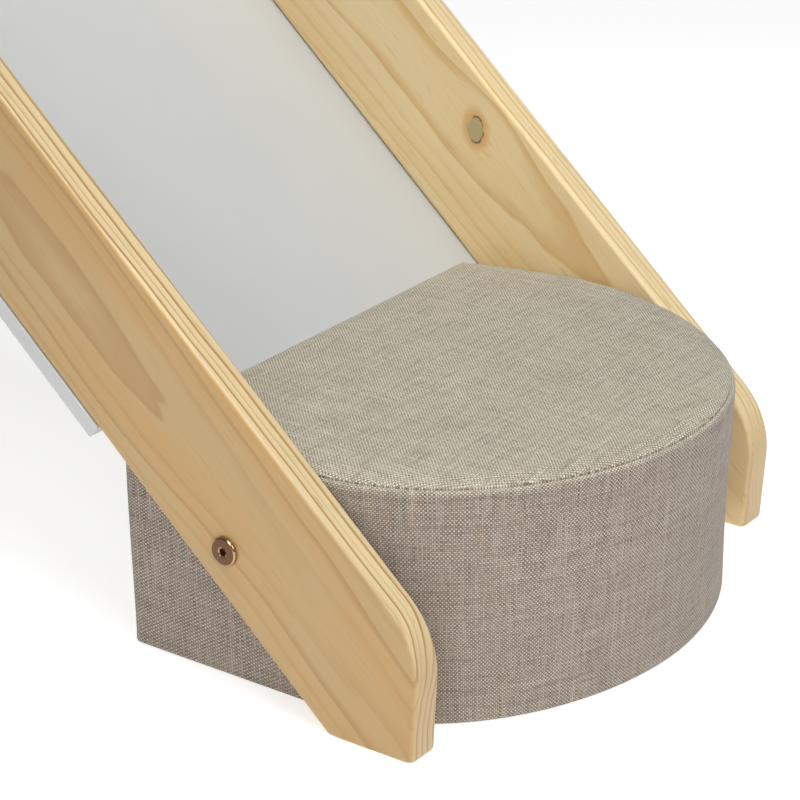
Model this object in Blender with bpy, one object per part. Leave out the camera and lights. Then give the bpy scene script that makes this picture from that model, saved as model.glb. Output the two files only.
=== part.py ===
"""Toddler slide that hangs on a low bed or platform, with an upholstered landing block.

Two pine side rails carry a white sliding board on their underside. The lower ends stand on
the floor, with a D-shaped upholstered block bolted between them. The upper ends are joined
by a threshold rail, and two steel hooks drop over the edge board of the bed or platform.

Metres, +Z up. The foot of the slide points to -Y. Slide coordinates start at the front of
the rails' feet; slope coordinates start at the rails' heels, with +Y up the slope and +Z
out of the sliding surface.
"""

import math

import bmesh
import bpy
from mathutils import Vector

# Driving dimensions
SLOPE = math.radians(42.7)
THRESHOLD_HEIGHT = 0.750
CHANNEL_WIDTH = 0.330
RAIL_THICKNESS = 0.021
RAIL_DEPTH = 0.095
FOOT_LENGTH = 0.0576
NOSE_RADIUS = 0.055
TOP_END_RADIUS = 0.030
RAIL_ARRIS = 0.003

DECK_THICKNESS = 0.010
DECK_START = 0.211
DECK_ARRIS = 0.0008

BATTEN_PLACES = (0.420, 0.760)
BATTEN_WIDTH = 0.045
BATTEN_THICKNESS = 0.021
BATTEN_LENGTH = 0.366

THRESHOLD_WIDTH = 0.070
THRESHOLD_THICKNESS = 0.034
TIMBER_ARRIS = 0.002

BLOCK_HEIGHT = 0.1385
BLOCK_CROWN = 0.0065
BLOCK_BACK = 0.2165
BLOCK_FRONT_TOP = -0.0596
BLOCK_FRONT_BASE = -0.0444
BLOCK_CURVE_START = 0.1275
BLOCK_ROUNDNESS = 2.17
COVER_THICKNESS = 0.0012
COVER_HEM = 0.018
CROWN_INSETS = (0.0020, 0.0080, 0.0450, 0.0950)
CROWN_LEVELS = (0.3, 0.5, 0.8, 1.0)
DUST_CLOTH_THICKNESS = 0.0005
DUST_CLOTH_INSET = 0.004
FOAM_WRAP = 0.005
FOAM_PAD = 0.020
PANEL = 0.012
CHEEK = 0.018
CHEEK_FRONT = 0.112
CHEEK_SETBACK = 0.0010
CHEEK_SCREW_PLACES = (0.030, 0.080)
FRONT_WRAP = 0.003
RIB = 0.018

BOLT_PLACE = (0.1241, 0.0930)
BOLT_LENGTH = 0.050
DECK_SCREW_PLACES = (0.232, 0.325, 0.590, 0.930)
DECK_SCREW_LENGTH = 0.030
BATTEN_SCREW_LENGTH = 0.050
HOOK_SCREW_LENGTH = 0.025
CARCASS_SCREW_LENGTH = 0.030

HOOK_WIDTH = 0.040
HOOK_STEEL = 0.003
HOOK_GAP = 0.027
HOOK_LEG = 0.044
HOOK_LIP = 0.034
HOOK_BEND = 0.0015
HOOK_SPREAD = 0.110
HOOK_SCREW_SPREAD = 0.012
HOOK_SCREW_DROP = 0.032

# Clearance between pieces that touch
GAP = 0.0003

# Sizes that follow from the driving dimensions
HALF_CHANNEL = CHANNEL_WIDTH / 2
HALF_WIDTH = HALF_CHANNEL + RAIL_THICKNESS
RAIL_CENTRE = HALF_CHANNEL + RAIL_THICKNESS / 2
RAIL_RUN = THRESHOLD_HEIGHT / math.sin(SLOPE)
TOP_END = FOOT_LENGTH + RAIL_RUN * math.cos(SLOPE)
DECK_UNDERSIDE = -GAP - DECK_THICKNESS
THRESHOLD_START = RAIL_RUN - THRESHOLD_WIDTH
HALF_BLOCK = HALF_CHANNEL - GAP
HEM_BASE = 0.0010
BASE_PANEL_Z = HEM_BASE + COVER_THICKNESS + GAP
FRAME_Z = BASE_PANEL_Z + PANEL + GAP
PAD_Z = BLOCK_HEIGHT - COVER_THICKNESS - GAP - FOAM_PAD
TOP_PANEL_Z = PAD_Z - GAP - PANEL
FRAME_TOP = TOP_PANEL_Z - GAP
PAD_INSET = COVER_THICKNESS + 2 * GAP
CARCASS_INSET = PAD_INSET + FOAM_WRAP + 2 * GAP
CHEEK_OUTER = HALF_BLOCK - CARCASS_INSET - CHEEK_SETBACK
CHEEK_INNER = CHEEK_OUTER - CHEEK
HOOK_BACK = TOP_END + GAP + 2 * HOOK_STEEL + HOOK_GAP
MIDDLE = (BLOCK_FRONT_TOP + HOOK_BACK) / 2


# Scene and materials

def clear_scene():
    for item in list(bpy.data.objects):
        bpy.data.objects.remove(item, do_unlink=True)


def material(name, colour, roughness, metallic=0.0):
    made = bpy.data.materials.new(name)
    made.use_nodes = True
    shader = made.node_tree.nodes["Principled BSDF"]
    shader.inputs["Base Color"].default_value = (*colour, 1.0)
    shader.inputs["Roughness"].default_value = roughness
    shader.inputs["Metallic"].default_value = metallic
    return made


def all_materials():
    return {
        "pine": material("pine", (0.60, 0.40, 0.19), 0.45),
        "white_board": material("white_board", (0.74, 0.75, 0.74), 0.35),
        "linen": material("linen", (0.32, 0.27, 0.21), 0.95),
        "plywood": material("plywood", (0.56, 0.42, 0.26), 0.60),
        "hardboard": material("hardboard", (0.28, 0.17, 0.09), 0.65),
        "foam": material("foam", (0.85, 0.80, 0.62), 0.95),
        "dust_cloth": material("dust_cloth", (0.03, 0.03, 0.03), 0.95),
        "brass_plate": material("brass_plate", (0.42, 0.25, 0.12), 0.30, 1.0),
        "zinc_steel": material("zinc_steel", (0.55, 0.55, 0.54), 0.35, 1.0),
        "painted_steel": material("painted_steel", (0.72, 0.72, 0.70), 0.40),
    }


# Shape helpers

def frame_empty(name, parent, location, tilt=0.0):
    empty = bpy.data.objects.new(name, None)
    bpy.context.collection.objects.link(empty)
    empty.parent = parent
    empty.location = location
    empty.rotation_euler = (tilt, 0.0, 0.0)
    return empty


def place(name, mesh, finish, parent, location=(0.0, 0.0, 0.0), rotation=(0.0, 0.0, 0.0)):
    item = bpy.data.objects.new(name, mesh)
    bpy.context.collection.objects.link(item)
    item.parent = parent
    item.location = location
    item.rotation_euler = rotation
    if finish is not None:
        mesh.materials.append(finish)
    return item


def finished_mesh(bm, name, smooth=False):
    bmesh.ops.recalc_face_normals(bm, faces=bm.faces)
    mesh = bpy.data.meshes.new(name)
    bm.to_mesh(mesh)
    bm.free()
    if smooth:
        mesh.shade_smooth()
        mesh.set_sharp_from_angle(angle=math.radians(35))
    return mesh


def prism(name, outline, low_x, high_x):
    """A (y, z) outline, extruded from low_x to high_x."""
    bm = bmesh.new()
    corners = [bm.verts.new((low_x, y, z)) for y, z in outline]
    face = bm.faces.new(corners)
    pulled = bmesh.ops.extrude_face_region(bm, geom=[face])
    moved = [part for part in pulled["geom"] if isinstance(part, bmesh.types.BMVert)]
    bmesh.ops.translate(bm, verts=moved, vec=(high_x - low_x, 0.0, 0.0))
    return finished_mesh(bm, name)


def block(name, low, high):
    """A plain box between two corners."""
    outline = [(low[1], low[2]), (high[1], low[2]), (high[1], high[2]), (low[1], high[2])]
    return prism(name, outline, low[0], high[0])


def turned(name, profile, sides):
    """A closed solid turned about Z from (radius, height) points, bottom to top."""
    bm = bmesh.new()
    rings = []
    for radius, height in profile:
        if radius == 0.0:
            rings.append([bm.verts.new((0.0, 0.0, height))])
            continue
        turns = [2 * math.pi * step / sides for step in range(sides)]
        ring = [bm.verts.new((radius * math.cos(a), radius * math.sin(a), height)) for a in turns]
        rings.append(ring)
    for lower, upper in zip(rings, rings[1:]):
        join_rings(bm, lower, upper)
    return finished_mesh(bm, name, smooth=True)


def tube(name, profile, sides):
    """A ring-shaped solid turned about Z from a closed loop of (radius, height) points."""
    bm = bmesh.new()
    rings = []
    for radius, height in profile:
        turns = [2 * math.pi * step / sides for step in range(sides)]
        ring = [bm.verts.new((radius * math.cos(a), radius * math.sin(a), height)) for a in turns]
        rings.append(ring)
    for lower, upper in zip(rings, rings[1:] + rings[:1]):
        join_rings(bm, lower, upper)
    return finished_mesh(bm, name, smooth=True)


def join_rings(bm, lower, upper):
    count = max(len(lower), len(upper))
    for step in range(count):
        after = (step + 1) % count
        corners = [lower[step % len(lower)]]
        if len(lower) > 1:
            corners.append(lower[after])
        if len(upper) > 1:
            corners.append(upper[after])
        corners.append(upper[step % len(upper)])
        bm.faces.new(corners)


def loft(name, rings, closed=False):
    """Outlines of equal length, joined one to the next; the ends are capped or joined."""
    bm = bmesh.new()
    rows = [[bm.verts.new(point) for point in ring] for ring in rings]
    for lower, upper in zip(rows, rows[1:]):
        join_rings(bm, lower, upper)
    if closed:
        join_rings(bm, rows[-1], rows[0])
    else:
        bm.faces.new(rows[0])
        bm.faces.new(rows[-1])
    return finished_mesh(bm, name)


def fillet(before, corner, after, radius, steps):
    """Points of an arc that rounds a corner of a (y, z) outline."""
    to_before = (Vector(before) - Vector(corner)).normalized()
    to_after = (Vector(after) - Vector(corner)).normalized()
    half = to_before.angle(to_after) / 2
    centre = Vector(corner) + (to_before + to_after).normalized() * radius / math.sin(half)
    first = Vector(corner) + to_before * radius / math.tan(half) - centre
    last = Vector(corner) + to_after * radius / math.tan(half) - centre
    sweep = first.angle_signed(last)
    points = []
    for step in range(steps + 1):
        angle = -sweep * step / steps
        y = first.x * math.cos(angle) - first.y * math.sin(angle)
        z = first.x * math.sin(angle) + first.y * math.cos(angle)
        points.append((centre.x + y, centre.y + z))
    return points


def round_edges(item, width, segments=2, angle=30):
    bevel = item.modifiers.new("rounded_edges", "BEVEL")
    bevel.width = width
    bevel.segments = segments
    bevel.limit_method = "ANGLE"
    bevel.angle_limit = math.radians(angle)


def drill(cutter, targets):
    """Cut every target with one hidden cutter."""
    cutter.hide_render = True
    cutter.display_type = "WIRE"
    for target in targets:
        cut = target.modifiers.new("cut_" + cutter.name, "BOOLEAN")
        cut.operation = "DIFFERENCE"
        cut.solver = "EXACT"
        cut.object = cutter


# Side rails, deck, battens and threshold

def slope_point(along, off):
    """Slide coordinates (y, z) of a place on the slope."""
    y = FOOT_LENGTH + along * math.cos(SLOPE) - off * math.sin(SLOPE)
    z = along * math.sin(SLOPE) + off * math.cos(SLOPE)
    return y, z


def rail_outline():
    toe = (0.0, 0.0)
    heel = (FOOT_LENGTH, 0.0)
    top_low = (TOP_END, THRESHOLD_HEIGHT)
    top_high = (TOP_END, THRESHOLD_HEIGHT + RAIL_DEPTH / math.cos(SLOPE))
    nose = (0.0, top_high[1] - TOP_END * math.tan(SLOPE))
    top_round = fillet(top_low, top_high, nose, TOP_END_RADIUS, 8)
    nose_round = fillet(top_high, nose, toe, NOSE_RADIUS, 8)
    return [toe, heel, top_low, *top_round, *nose_round]


def make_rail(side, sign, slide, finish):
    low_x, high_x = sorted((sign * HALF_CHANNEL, sign * HALF_WIDTH))
    mesh = prism(side + "_rail", rail_outline(), low_x, high_x)
    rail = place(side + "_rail", mesh, finish, slide)
    round_edges(rail, RAIL_ARRIS)
    return rail


def make_deck(slope, finish):
    low = (-HALF_WIDTH, DECK_START, DECK_UNDERSIDE)
    high = (HALF_WIDTH, THRESHOLD_START - GAP, -GAP)
    deck = place("slide_deck", block("slide_deck", low, high), finish, slope)
    round_edges(deck, DECK_ARRIS, segments=1)
    return deck


def make_batten(name, along, slope, finish):
    top = DECK_UNDERSIDE - GAP
    low = (-BATTEN_LENGTH / 2, along - BATTEN_WIDTH / 2, top - BATTEN_THICKNESS)
    high = (BATTEN_LENGTH / 2, along + BATTEN_WIDTH / 2, top)
    batten = place(name, block(name, low, high), finish, slope)
    round_edges(batten, TIMBER_ARRIS, segments=1)
    return batten


def make_threshold_rail(slope, finish):
    plumb = math.tan(SLOPE)
    top = -GAP
    bottom = top - THRESHOLD_THICKNESS
    outline = [
        (THRESHOLD_START, bottom),
        (RAIL_RUN + bottom * plumb, bottom),
        (RAIL_RUN + top * plumb, top),
        (THRESHOLD_START, top),
    ]
    mesh = prism("threshold_rail", outline, -HALF_WIDTH, HALF_WIDTH)
    rail = place("threshold_rail", mesh, finish, slope)
    round_edges(rail, TIMBER_ARRIS, segments=1)
    return rail


# Fasteners: each is turned about its own Z, with the tip up and the head's seat at z = 0

SCREW_RADIUS = 0.0020
SCREW_HEAD_RADIUS = 0.0040
SCREW_HEAD_DEPTH = 0.0024
BOLT_RADIUS = 0.0030
BOLT_HEAD_RADIUS = 0.0085
BOLT_HEAD_HEIGHT = 0.0024
BOLT_HEAD_EDGE = 0.0010
BOLT_SOCKET_RADIUS = 0.0023
BOLT_SOCKET_DEPTH = 0.0018
HOLE_SIDES = 12
HEAD_SIDES = 20


def screw_mesh(name, length):
    """A countersunk wood screw, its flat head's face at z = 0."""
    profile = [
        (0.0, SCREW_HEAD_DEPTH * 0.4),
        (SCREW_HEAD_RADIUS * 0.4, 0.0),
        (SCREW_HEAD_RADIUS, 0.0),
        (SCREW_RADIUS, SCREW_HEAD_DEPTH),
        (SCREW_RADIUS, length - 2 * SCREW_RADIUS),
        (0.0, length),
    ]
    return turned(name, profile, HOLE_SIDES)


def screw_hole_mesh(name, length):
    """The screw's own shape, grown by the clearance and open past the head."""
    profile = [
        (0.0, -2 * GAP),
        (SCREW_HEAD_RADIUS + 4 * GAP, -2 * GAP),
        (SCREW_RADIUS + 1.5 * GAP, SCREW_HEAD_DEPTH + GAP),
        (SCREW_RADIUS + 1.5 * GAP, length + GAP),
        (0.0, length + GAP),
    ]
    return turned(name, profile, HOLE_SIDES)


def make_screw(name, length, parent, location, rotation, targets, finish):
    screw = place(name, screw_mesh(name, length), finish, parent, location, rotation)
    hole = place(name + "_hole", screw_hole_mesh(name + "_hole", length), None, parent,
                 location, rotation)
    drill(hole, targets)
    return screw


def bolt_mesh(name, length):
    """A furniture connector bolt: wide flat head with a bevelled rim, outside z = 0."""
    profile = [
        (0.0, -BOLT_HEAD_HEIGHT),
        (BOLT_HEAD_RADIUS - BOLT_HEAD_EDGE, -BOLT_HEAD_HEIGHT),
        (BOLT_HEAD_RADIUS, -BOLT_HEAD_HEIGHT + BOLT_HEAD_EDGE),
        (BOLT_HEAD_RADIUS, -GAP),
        (BOLT_RADIUS, -GAP),
        (BOLT_RADIUS, length - BOLT_HEAD_EDGE),
        (BOLT_RADIUS - BOLT_HEAD_EDGE, length),
        (0.0, length),
    ]
    return turned(name, profile, HEAD_SIDES)


def socket_mesh(name):
    """The six-sided key socket in the bolt's head."""
    profile = [
        (0.0, -BOLT_HEAD_HEIGHT - GAP),
        (BOLT_SOCKET_RADIUS, -BOLT_HEAD_HEIGHT - GAP),
        (BOLT_SOCKET_RADIUS, -BOLT_HEAD_HEIGHT + BOLT_SOCKET_DEPTH),
        (0.0, -BOLT_HEAD_HEIGHT + BOLT_SOCKET_DEPTH),
    ]
    return turned(name, profile, 6)


def shaft_hole_mesh(name, radius, start, end):
    profile = [(0.0, start), (radius, start), (radius, end), (0.0, end)]
    return turned(name, profile, HOLE_SIDES)


def make_bolt(name, length, parent, location, rotation, targets, finish):
    bolt = place(name, bolt_mesh(name, length), finish, parent, location, rotation)
    socket = place(name + "_socket", socket_mesh(name + "_socket"), None, parent,
                   location, rotation)
    drill(socket, [bolt])
    hole_mesh = shaft_hole_mesh(name + "_hole", BOLT_RADIUS + 2 * GAP, -GAP, length + GAP)
    hole = place(name + "_hole", hole_mesh, None, parent, location, rotation)
    drill(hole, targets)
    return bolt


def make_deck_screws(slope, deck, rails, finish):
    """Short screws from below, through the deck into each rail's lower edge."""
    for side, sign in (("left", -1), ("right", 1)):
        for number, along in enumerate(DECK_SCREW_PLACES, start=1):
            name = f"{side}_deck_screw_{number}"
            where = (sign * RAIL_CENTRE, along, DECK_UNDERSIDE)
            make_screw(name, DECK_SCREW_LENGTH, slope, where, (0.0, 0.0, 0.0),
                       [deck, rails[side]], finish)


def make_batten_screws(slope, deck, rails, battens, finish):
    """Long screws from below, through batten and deck into each rail."""
    underside = DECK_UNDERSIDE - GAP - BATTEN_THICKNESS
    for side, sign in (("left", -1), ("right", 1)):
        for batten, along in zip(battens, BATTEN_PLACES):
            name = f"{side}_{batten.name}_screw"
            where = (sign * RAIL_CENTRE, along, underside)
            make_screw(name, BATTEN_SCREW_LENGTH, slope, where, (0.0, 0.0, 0.0),
                       [batten, deck, rails[side]], finish)


# The threshold's joints: a bolt into a barrel nut, and a dowel, at each rail

THRESHOLD_BOLT_LENGTH = 0.060
THRESHOLD_BOLT_BACK = 0.050
BARREL_RADIUS = 0.005
BARREL_LENGTH = 0.014
BARREL_OFF = 0.018
DOWEL_RADIUS = 0.004
DOWEL_HALF = 0.015
DOWEL_BACK = 0.028


def make_threshold_joint(side, sign, slope, rail, threshold, finishes):
    along = RAIL_RUN - THRESHOLD_BOLT_BACK
    where = (sign * RAIL_CENTRE, along, -GAP - THRESHOLD_THICKNESS)
    barrel = make_barrel_nut(side, sign, along, slope, rail, finishes["zinc_steel"])
    make_bolt(side + "_threshold_bolt", THRESHOLD_BOLT_LENGTH, slope, where, (0.0, 0.0, 0.0),
              [threshold, rail, barrel], finishes["brass_plate"])
    make_dowel(side, sign, slope, rail, threshold, finishes["pine"])


def make_barrel_nut(side, sign, along, slope, rail, finish):
    """A cross-drilled barrel nut, pushed in from the rail's inner face."""
    name = side + "_barrel_nut"
    half = BARREL_LENGTH / 2
    turn = (0.0, math.pi / 2, 0.0)
    where = (sign * RAIL_CENTRE, along, BARREL_OFF)
    profile = [(0.0, -half), (BARREL_RADIUS, -half), (BARREL_RADIUS, half), (0.0, half)]
    barrel = place(name, turned(name, profile, HEAD_SIDES), finish, slope, where, turn)
    inner = -sign * RAIL_THICKNESS
    low, high = sorted((inner, sign * (half + GAP)))
    profile = [(0.0, low), (BARREL_RADIUS + GAP, low), (BARREL_RADIUS + GAP, high), (0.0, high)]
    pocket = place(name + "_pocket", turned(name + "_pocket", profile, HEAD_SIDES), None, slope,
                   where, turn)
    drill(pocket, [rail])
    return barrel


def make_dowel(side, sign, slope, rail, threshold, finish):
    name = side + "_dowel"
    where = (sign * RAIL_CENTRE, RAIL_RUN - DOWEL_BACK, 0.0)
    chamfer = DOWEL_RADIUS / 4
    profile = [
        (0.0, -DOWEL_HALF),
        (DOWEL_RADIUS - chamfer, -DOWEL_HALF),
        (DOWEL_RADIUS, -DOWEL_HALF + chamfer),
        (DOWEL_RADIUS, DOWEL_HALF - chamfer),
        (DOWEL_RADIUS - chamfer, DOWEL_HALF),
        (0.0, DOWEL_HALF),
    ]
    place(name, turned(name, profile, HOLE_SIDES), finish, slope, where)
    hole_mesh = shaft_hole_mesh(name + "_hole", DOWEL_RADIUS + GAP, -DOWEL_HALF - GAP,
                                DOWEL_HALF + GAP)
    drill(place(name + "_hole", hole_mesh, None, slope, where), [rail, threshold])


# Hooks at the upper end

def hook_outline():
    """A flat bar bent twice: a leg on the threshold, a bridge and a lip over the board."""
    bend = 4
    back = HOOK_GAP + 2 * HOOK_STEEL
    outer_radius = HOOK_BEND + HOOK_STEEL
    outer = [
        (0.0, -HOOK_LEG),
        *fillet((0.0, -HOOK_LEG), (0.0, 0.0), (back, 0.0), outer_radius, bend),
        *fillet((0.0, 0.0), (back, 0.0), (back, -HOOK_LIP), outer_radius, bend),
        (back, -HOOK_LIP),
    ]
    low = -HOOK_STEEL
    near = HOOK_STEEL
    far = back - HOOK_STEEL
    inner = [
        (far, -HOOK_LIP),
        *fillet((far, -HOOK_LIP), (far, low), (near, low), HOOK_BEND, bend),
        *fillet((far, low), (near, low), (near, -HOOK_LEG), HOOK_BEND, bend),
        (near, -HOOK_LEG),
    ]
    return outer + inner


def make_hook(side, sign, slide, threshold, finishes):
    name = side + "_hook"
    mesh = prism(name, hook_outline(), -HOOK_WIDTH / 2, HOOK_WIDTH / 2)
    top = THRESHOLD_HEIGHT - TIMBER_ARRIS
    where = (sign * HOOK_SPREAD, TOP_END + GAP, top)
    hook = place(name, mesh, finishes["painted_steel"], slide, where)
    for number, offset in enumerate((-HOOK_SCREW_SPREAD, HOOK_SCREW_SPREAD), start=1):
        place_screw = (where[0] + offset, TOP_END + GAP + HOOK_STEEL, top - HOOK_SCREW_DROP)
        make_screw(f"{name}_screw_{number}", HOOK_SCREW_LENGTH, slide, place_screw,
                   (math.pi / 2, 0.0, 0.0), [hook, threshold], finishes["zinc_steel"])


# Landing block

CURVE_STEPS = 28


def block_outline(height, inset):
    """The block's D-shaped outline: flat back, straight sides and a broad curved front.

    The front leans out a little from the floor to the top seam.
    """
    lean = min(max(height / BLOCK_HEIGHT, 0.0), 1.0)
    front = BLOCK_FRONT_BASE + (BLOCK_FRONT_TOP - BLOCK_FRONT_BASE) * lean + inset
    half = HALF_BLOCK - inset
    depth = BLOCK_CURVE_START - front
    back = BLOCK_BACK - inset
    points = [(half, back, height)]
    for step in range(CURVE_STEPS + 1):
        turn = math.pi * step / CURVE_STEPS
        across = math.copysign(abs(math.cos(turn)) ** (2 / BLOCK_ROUNDNESS), math.cos(turn))
        along = abs(math.sin(turn)) ** (2 / BLOCK_ROUNDNESS)
        points.append((half * across, BLOCK_CURVE_START - depth * along, height))
    points.append((-half, back, height))
    return points


def panel_mesh(name, low, high, inset):
    """A flat panel whose edge follows the lean of the block's wall."""
    return loft(name, [block_outline(low, inset), block_outline(high, inset)])


def crown_profile(base, crown):
    """(height, inset) rows of the slightly crowned top, from its edge inwards."""
    return [(base + level * crown, inset) for level, inset in zip(CROWN_LEVELS, CROWN_INSETS)]


def make_cover(slide, finish):
    """The sewn cover: an open-bottomed shell with a seam round the top and an inturned hem."""
    thick = COVER_THICKNESS
    crown_rows = crown_profile(BLOCK_HEIGHT, BLOCK_CROWN)
    outside = [
        (HEM_BASE, COVER_HEM),
        (HEM_BASE, thick),
        (HEM_BASE + thick, 0.0),
        (BLOCK_HEIGHT, 0.0),
        *crown_rows,
    ]
    inside = [
        *((height - thick, inset) for height, inset in reversed(crown_rows[1:])),
        (BLOCK_HEIGHT - thick, thick),
        (HEM_BASE + thick, thick),
        (HEM_BASE + thick, COVER_HEM),
    ]
    outer_rows = [block_outline(height, inset) for height, inset in outside]
    inner_rows = [block_outline(height, inset) for height, inset in inside]
    bm = bmesh.new()
    outer = [[bm.verts.new(point) for point in row] for row in outer_rows]
    inner = [[bm.verts.new(point) for point in row] for row in inner_rows]
    for rows in (outer, inner):
        for lower, upper in zip(rows, rows[1:]):
            join_rings(bm, lower, upper)
    bm.faces.new(outer[-1])
    bm.faces.new(inner[0])
    join_rings(bm, inner[-1], outer[0])
    return place("block_cover", finished_mesh(bm, "block_cover"), finish, slide)


def make_foam(slide, finish):
    top = BLOCK_HEIGHT - COVER_THICKNESS - GAP
    crown = BLOCK_CROWN - COVER_THICKNESS - GAP
    pad_rows = [
        block_outline(PAD_Z, PAD_INSET),
        block_outline(top, PAD_INSET),
        *(block_outline(*row) for row in crown_profile(top, crown)[1:]),
    ]
    place("block_foam_pad", loft("block_foam_pad", pad_rows), finish, slide)
    low = BASE_PANEL_Z
    high = PAD_Z - GAP
    rows = [
        block_outline(low, PAD_INSET),
        block_outline(high, PAD_INSET),
        block_outline(high, PAD_INSET + FOAM_WRAP),
        block_outline(low, PAD_INSET + FOAM_WRAP),
    ]
    return place("block_foam_wrap", loft("block_foam_wrap", rows, closed=True), finish, slide)


def make_cheek(side, sign, slide, finish):
    name = f"block_{side}_cheek"
    low_x, high_x = sorted((sign * CHEEK_OUTER, sign * CHEEK_INNER))
    low = (low_x, CHEEK_FRONT, FRAME_Z)
    high = (high_x, BLOCK_BACK - CARCASS_INSET, FRAME_TOP)
    return place(name, block(name, low, high), finish, slide)


def make_carcass(slide, finishes):
    ply = finishes["plywood"]
    base_mesh = panel_mesh("block_base_panel", BASE_PANEL_Z, BASE_PANEL_Z + PANEL, CARCASS_INSET)
    base = place("block_base_panel", base_mesh, ply, slide)
    top_mesh = panel_mesh("block_top_panel", TOP_PANEL_Z, TOP_PANEL_Z + PANEL, CARCASS_INSET)
    top = place("block_top_panel", top_mesh, ply, slide)
    cheeks = {side: make_cheek(side, sign, slide, ply) for side, sign in (("left", -1), ("right", 1))}
    make_back_panel(slide, ply)
    make_centre_rib(slide, ply)
    make_front_wrap(slide, finishes["hardboard"])
    make_carcass_screws(slide, base, top, cheeks, finishes["zinc_steel"])
    return cheeks


def make_back_panel(slide, finish):
    half = CHEEK_INNER - GAP
    back = BLOCK_BACK - CARCASS_INSET
    low = (-half, back - PANEL, FRAME_Z)
    high = (half, back, FRAME_TOP)
    place("block_back_panel", block("block_back_panel", low, high), finish, slide)


def make_centre_rib(slide, finish):
    """The rib's front edge leans with the block's front."""
    behind_wrap = CARCASS_INSET + FRONT_WRAP + 2 * GAP
    front_low = min(y for _, y, _ in block_outline(FRAME_Z, behind_wrap))
    front_high = min(y for _, y, _ in block_outline(FRAME_TOP, behind_wrap))
    back = BLOCK_BACK - CARCASS_INSET - PANEL - GAP
    outline = [(front_low, FRAME_Z), (back, FRAME_Z), (back, FRAME_TOP), (front_high, FRAME_TOP)]
    mesh = prism("block_centre_rib", outline, -RIB / 2, RIB / 2)
    place("block_centre_rib", mesh, finish, slide)


def make_front_wrap(slide, finish):
    """A thin board bent round the curved front, between the base and top panels."""
    rings = []
    for height, inset in (
        (FRAME_Z, CARCASS_INSET),
        (FRAME_TOP, CARCASS_INSET),
        (FRAME_TOP, CARCASS_INSET + FRONT_WRAP),
        (FRAME_Z, CARCASS_INSET + FRONT_WRAP),
    ):
        rings.append(block_outline(height, inset)[2:-2])
    bm = bmesh.new()
    rows = [[bm.verts.new(point) for point in ring] for ring in rings]
    for lower, upper in zip(rows, rows[1:] + rows[:1]):
        for step in range(len(lower) - 1):
            bm.faces.new((lower[step], lower[step + 1], upper[step + 1], upper[step]))
    for end in (0, -1):
        bm.faces.new([row[end] for row in rows])
    place("block_front_wrap", finished_mesh(bm, "block_front_wrap"), finish, slide)


def make_carcass_screws(slide, base, top, cheeks, finish):
    """Two screws up through the base and two down through the top panel into each cheek."""
    centre = (CHEEK_OUTER + CHEEK_INNER) / 2
    levels = (
        ("base", base, BASE_PANEL_Z, 0.0),
        ("top", top, TOP_PANEL_Z + PANEL, math.pi),
    )
    for side, sign in (("left", -1), ("right", 1)):
        for level, panel, height, turn in levels:
            for number, along in enumerate(CHEEK_SCREW_PLACES, start=1):
                make_screw(f"{side}_{level}_screw_{number}", CARCASS_SCREW_LENGTH, slide,
                           (sign * centre, CHEEK_FRONT + along, height), (turn, 0.0, 0.0),
                           [panel, cheeks[side]], finish)


def make_dust_cover(slide, finish):
    """The thin cloth stapled under the base panel, over the cover's hem."""
    high = HEM_BASE - GAP
    low = high - DUST_CLOTH_THICKNESS
    mesh = panel_mesh("block_dust_cover", low, high, DUST_CLOTH_INSET)
    place("block_dust_cover", mesh, finish, slide)


TEE_NUT_FLANGE = 0.0095
TEE_NUT_FLANGE_THICKNESS = 0.0015
TEE_NUT_BARREL = 0.0042
TEE_NUT_LENGTH = 0.0090


def make_block_joint(side, sign, slide, rail, cover, wrap, cheek, finishes):
    """One connector bolt through the rail into a tee nut behind the block's cheek."""
    turn = (0.0, -sign * math.pi / 2, 0.0)
    where = (sign * HALF_WIDTH, *BOLT_PLACE)
    make_bolt(side + "_block_bolt", BOLT_LENGTH, slide, where, turn, [rail, cover, wrap, cheek],
              finishes["brass_plate"])
    name = side + "_block_tee_nut"
    bore = BOLT_RADIUS + GAP
    profile = [
        (bore, -TEE_NUT_LENGTH),
        (TEE_NUT_BARREL, -TEE_NUT_LENGTH),
        (TEE_NUT_BARREL, GAP),
        (TEE_NUT_FLANGE, GAP),
        (TEE_NUT_FLANGE, GAP + TEE_NUT_FLANGE_THICKNESS),
        (bore, GAP + TEE_NUT_FLANGE_THICKNESS),
    ]
    seat = (sign * CHEEK_INNER, *BOLT_PLACE)
    place(name, tube(name, profile, HEAD_SIDES), finishes["zinc_steel"], slide, seat, turn)
    pocket = shaft_hole_mesh(name + "_pocket", TEE_NUT_BARREL + 2 * GAP, -TEE_NUT_LENGTH - GAP, GAP)
    drill(place(name + "_pocket", pocket, None, slide, seat, turn), [cheek])


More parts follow.
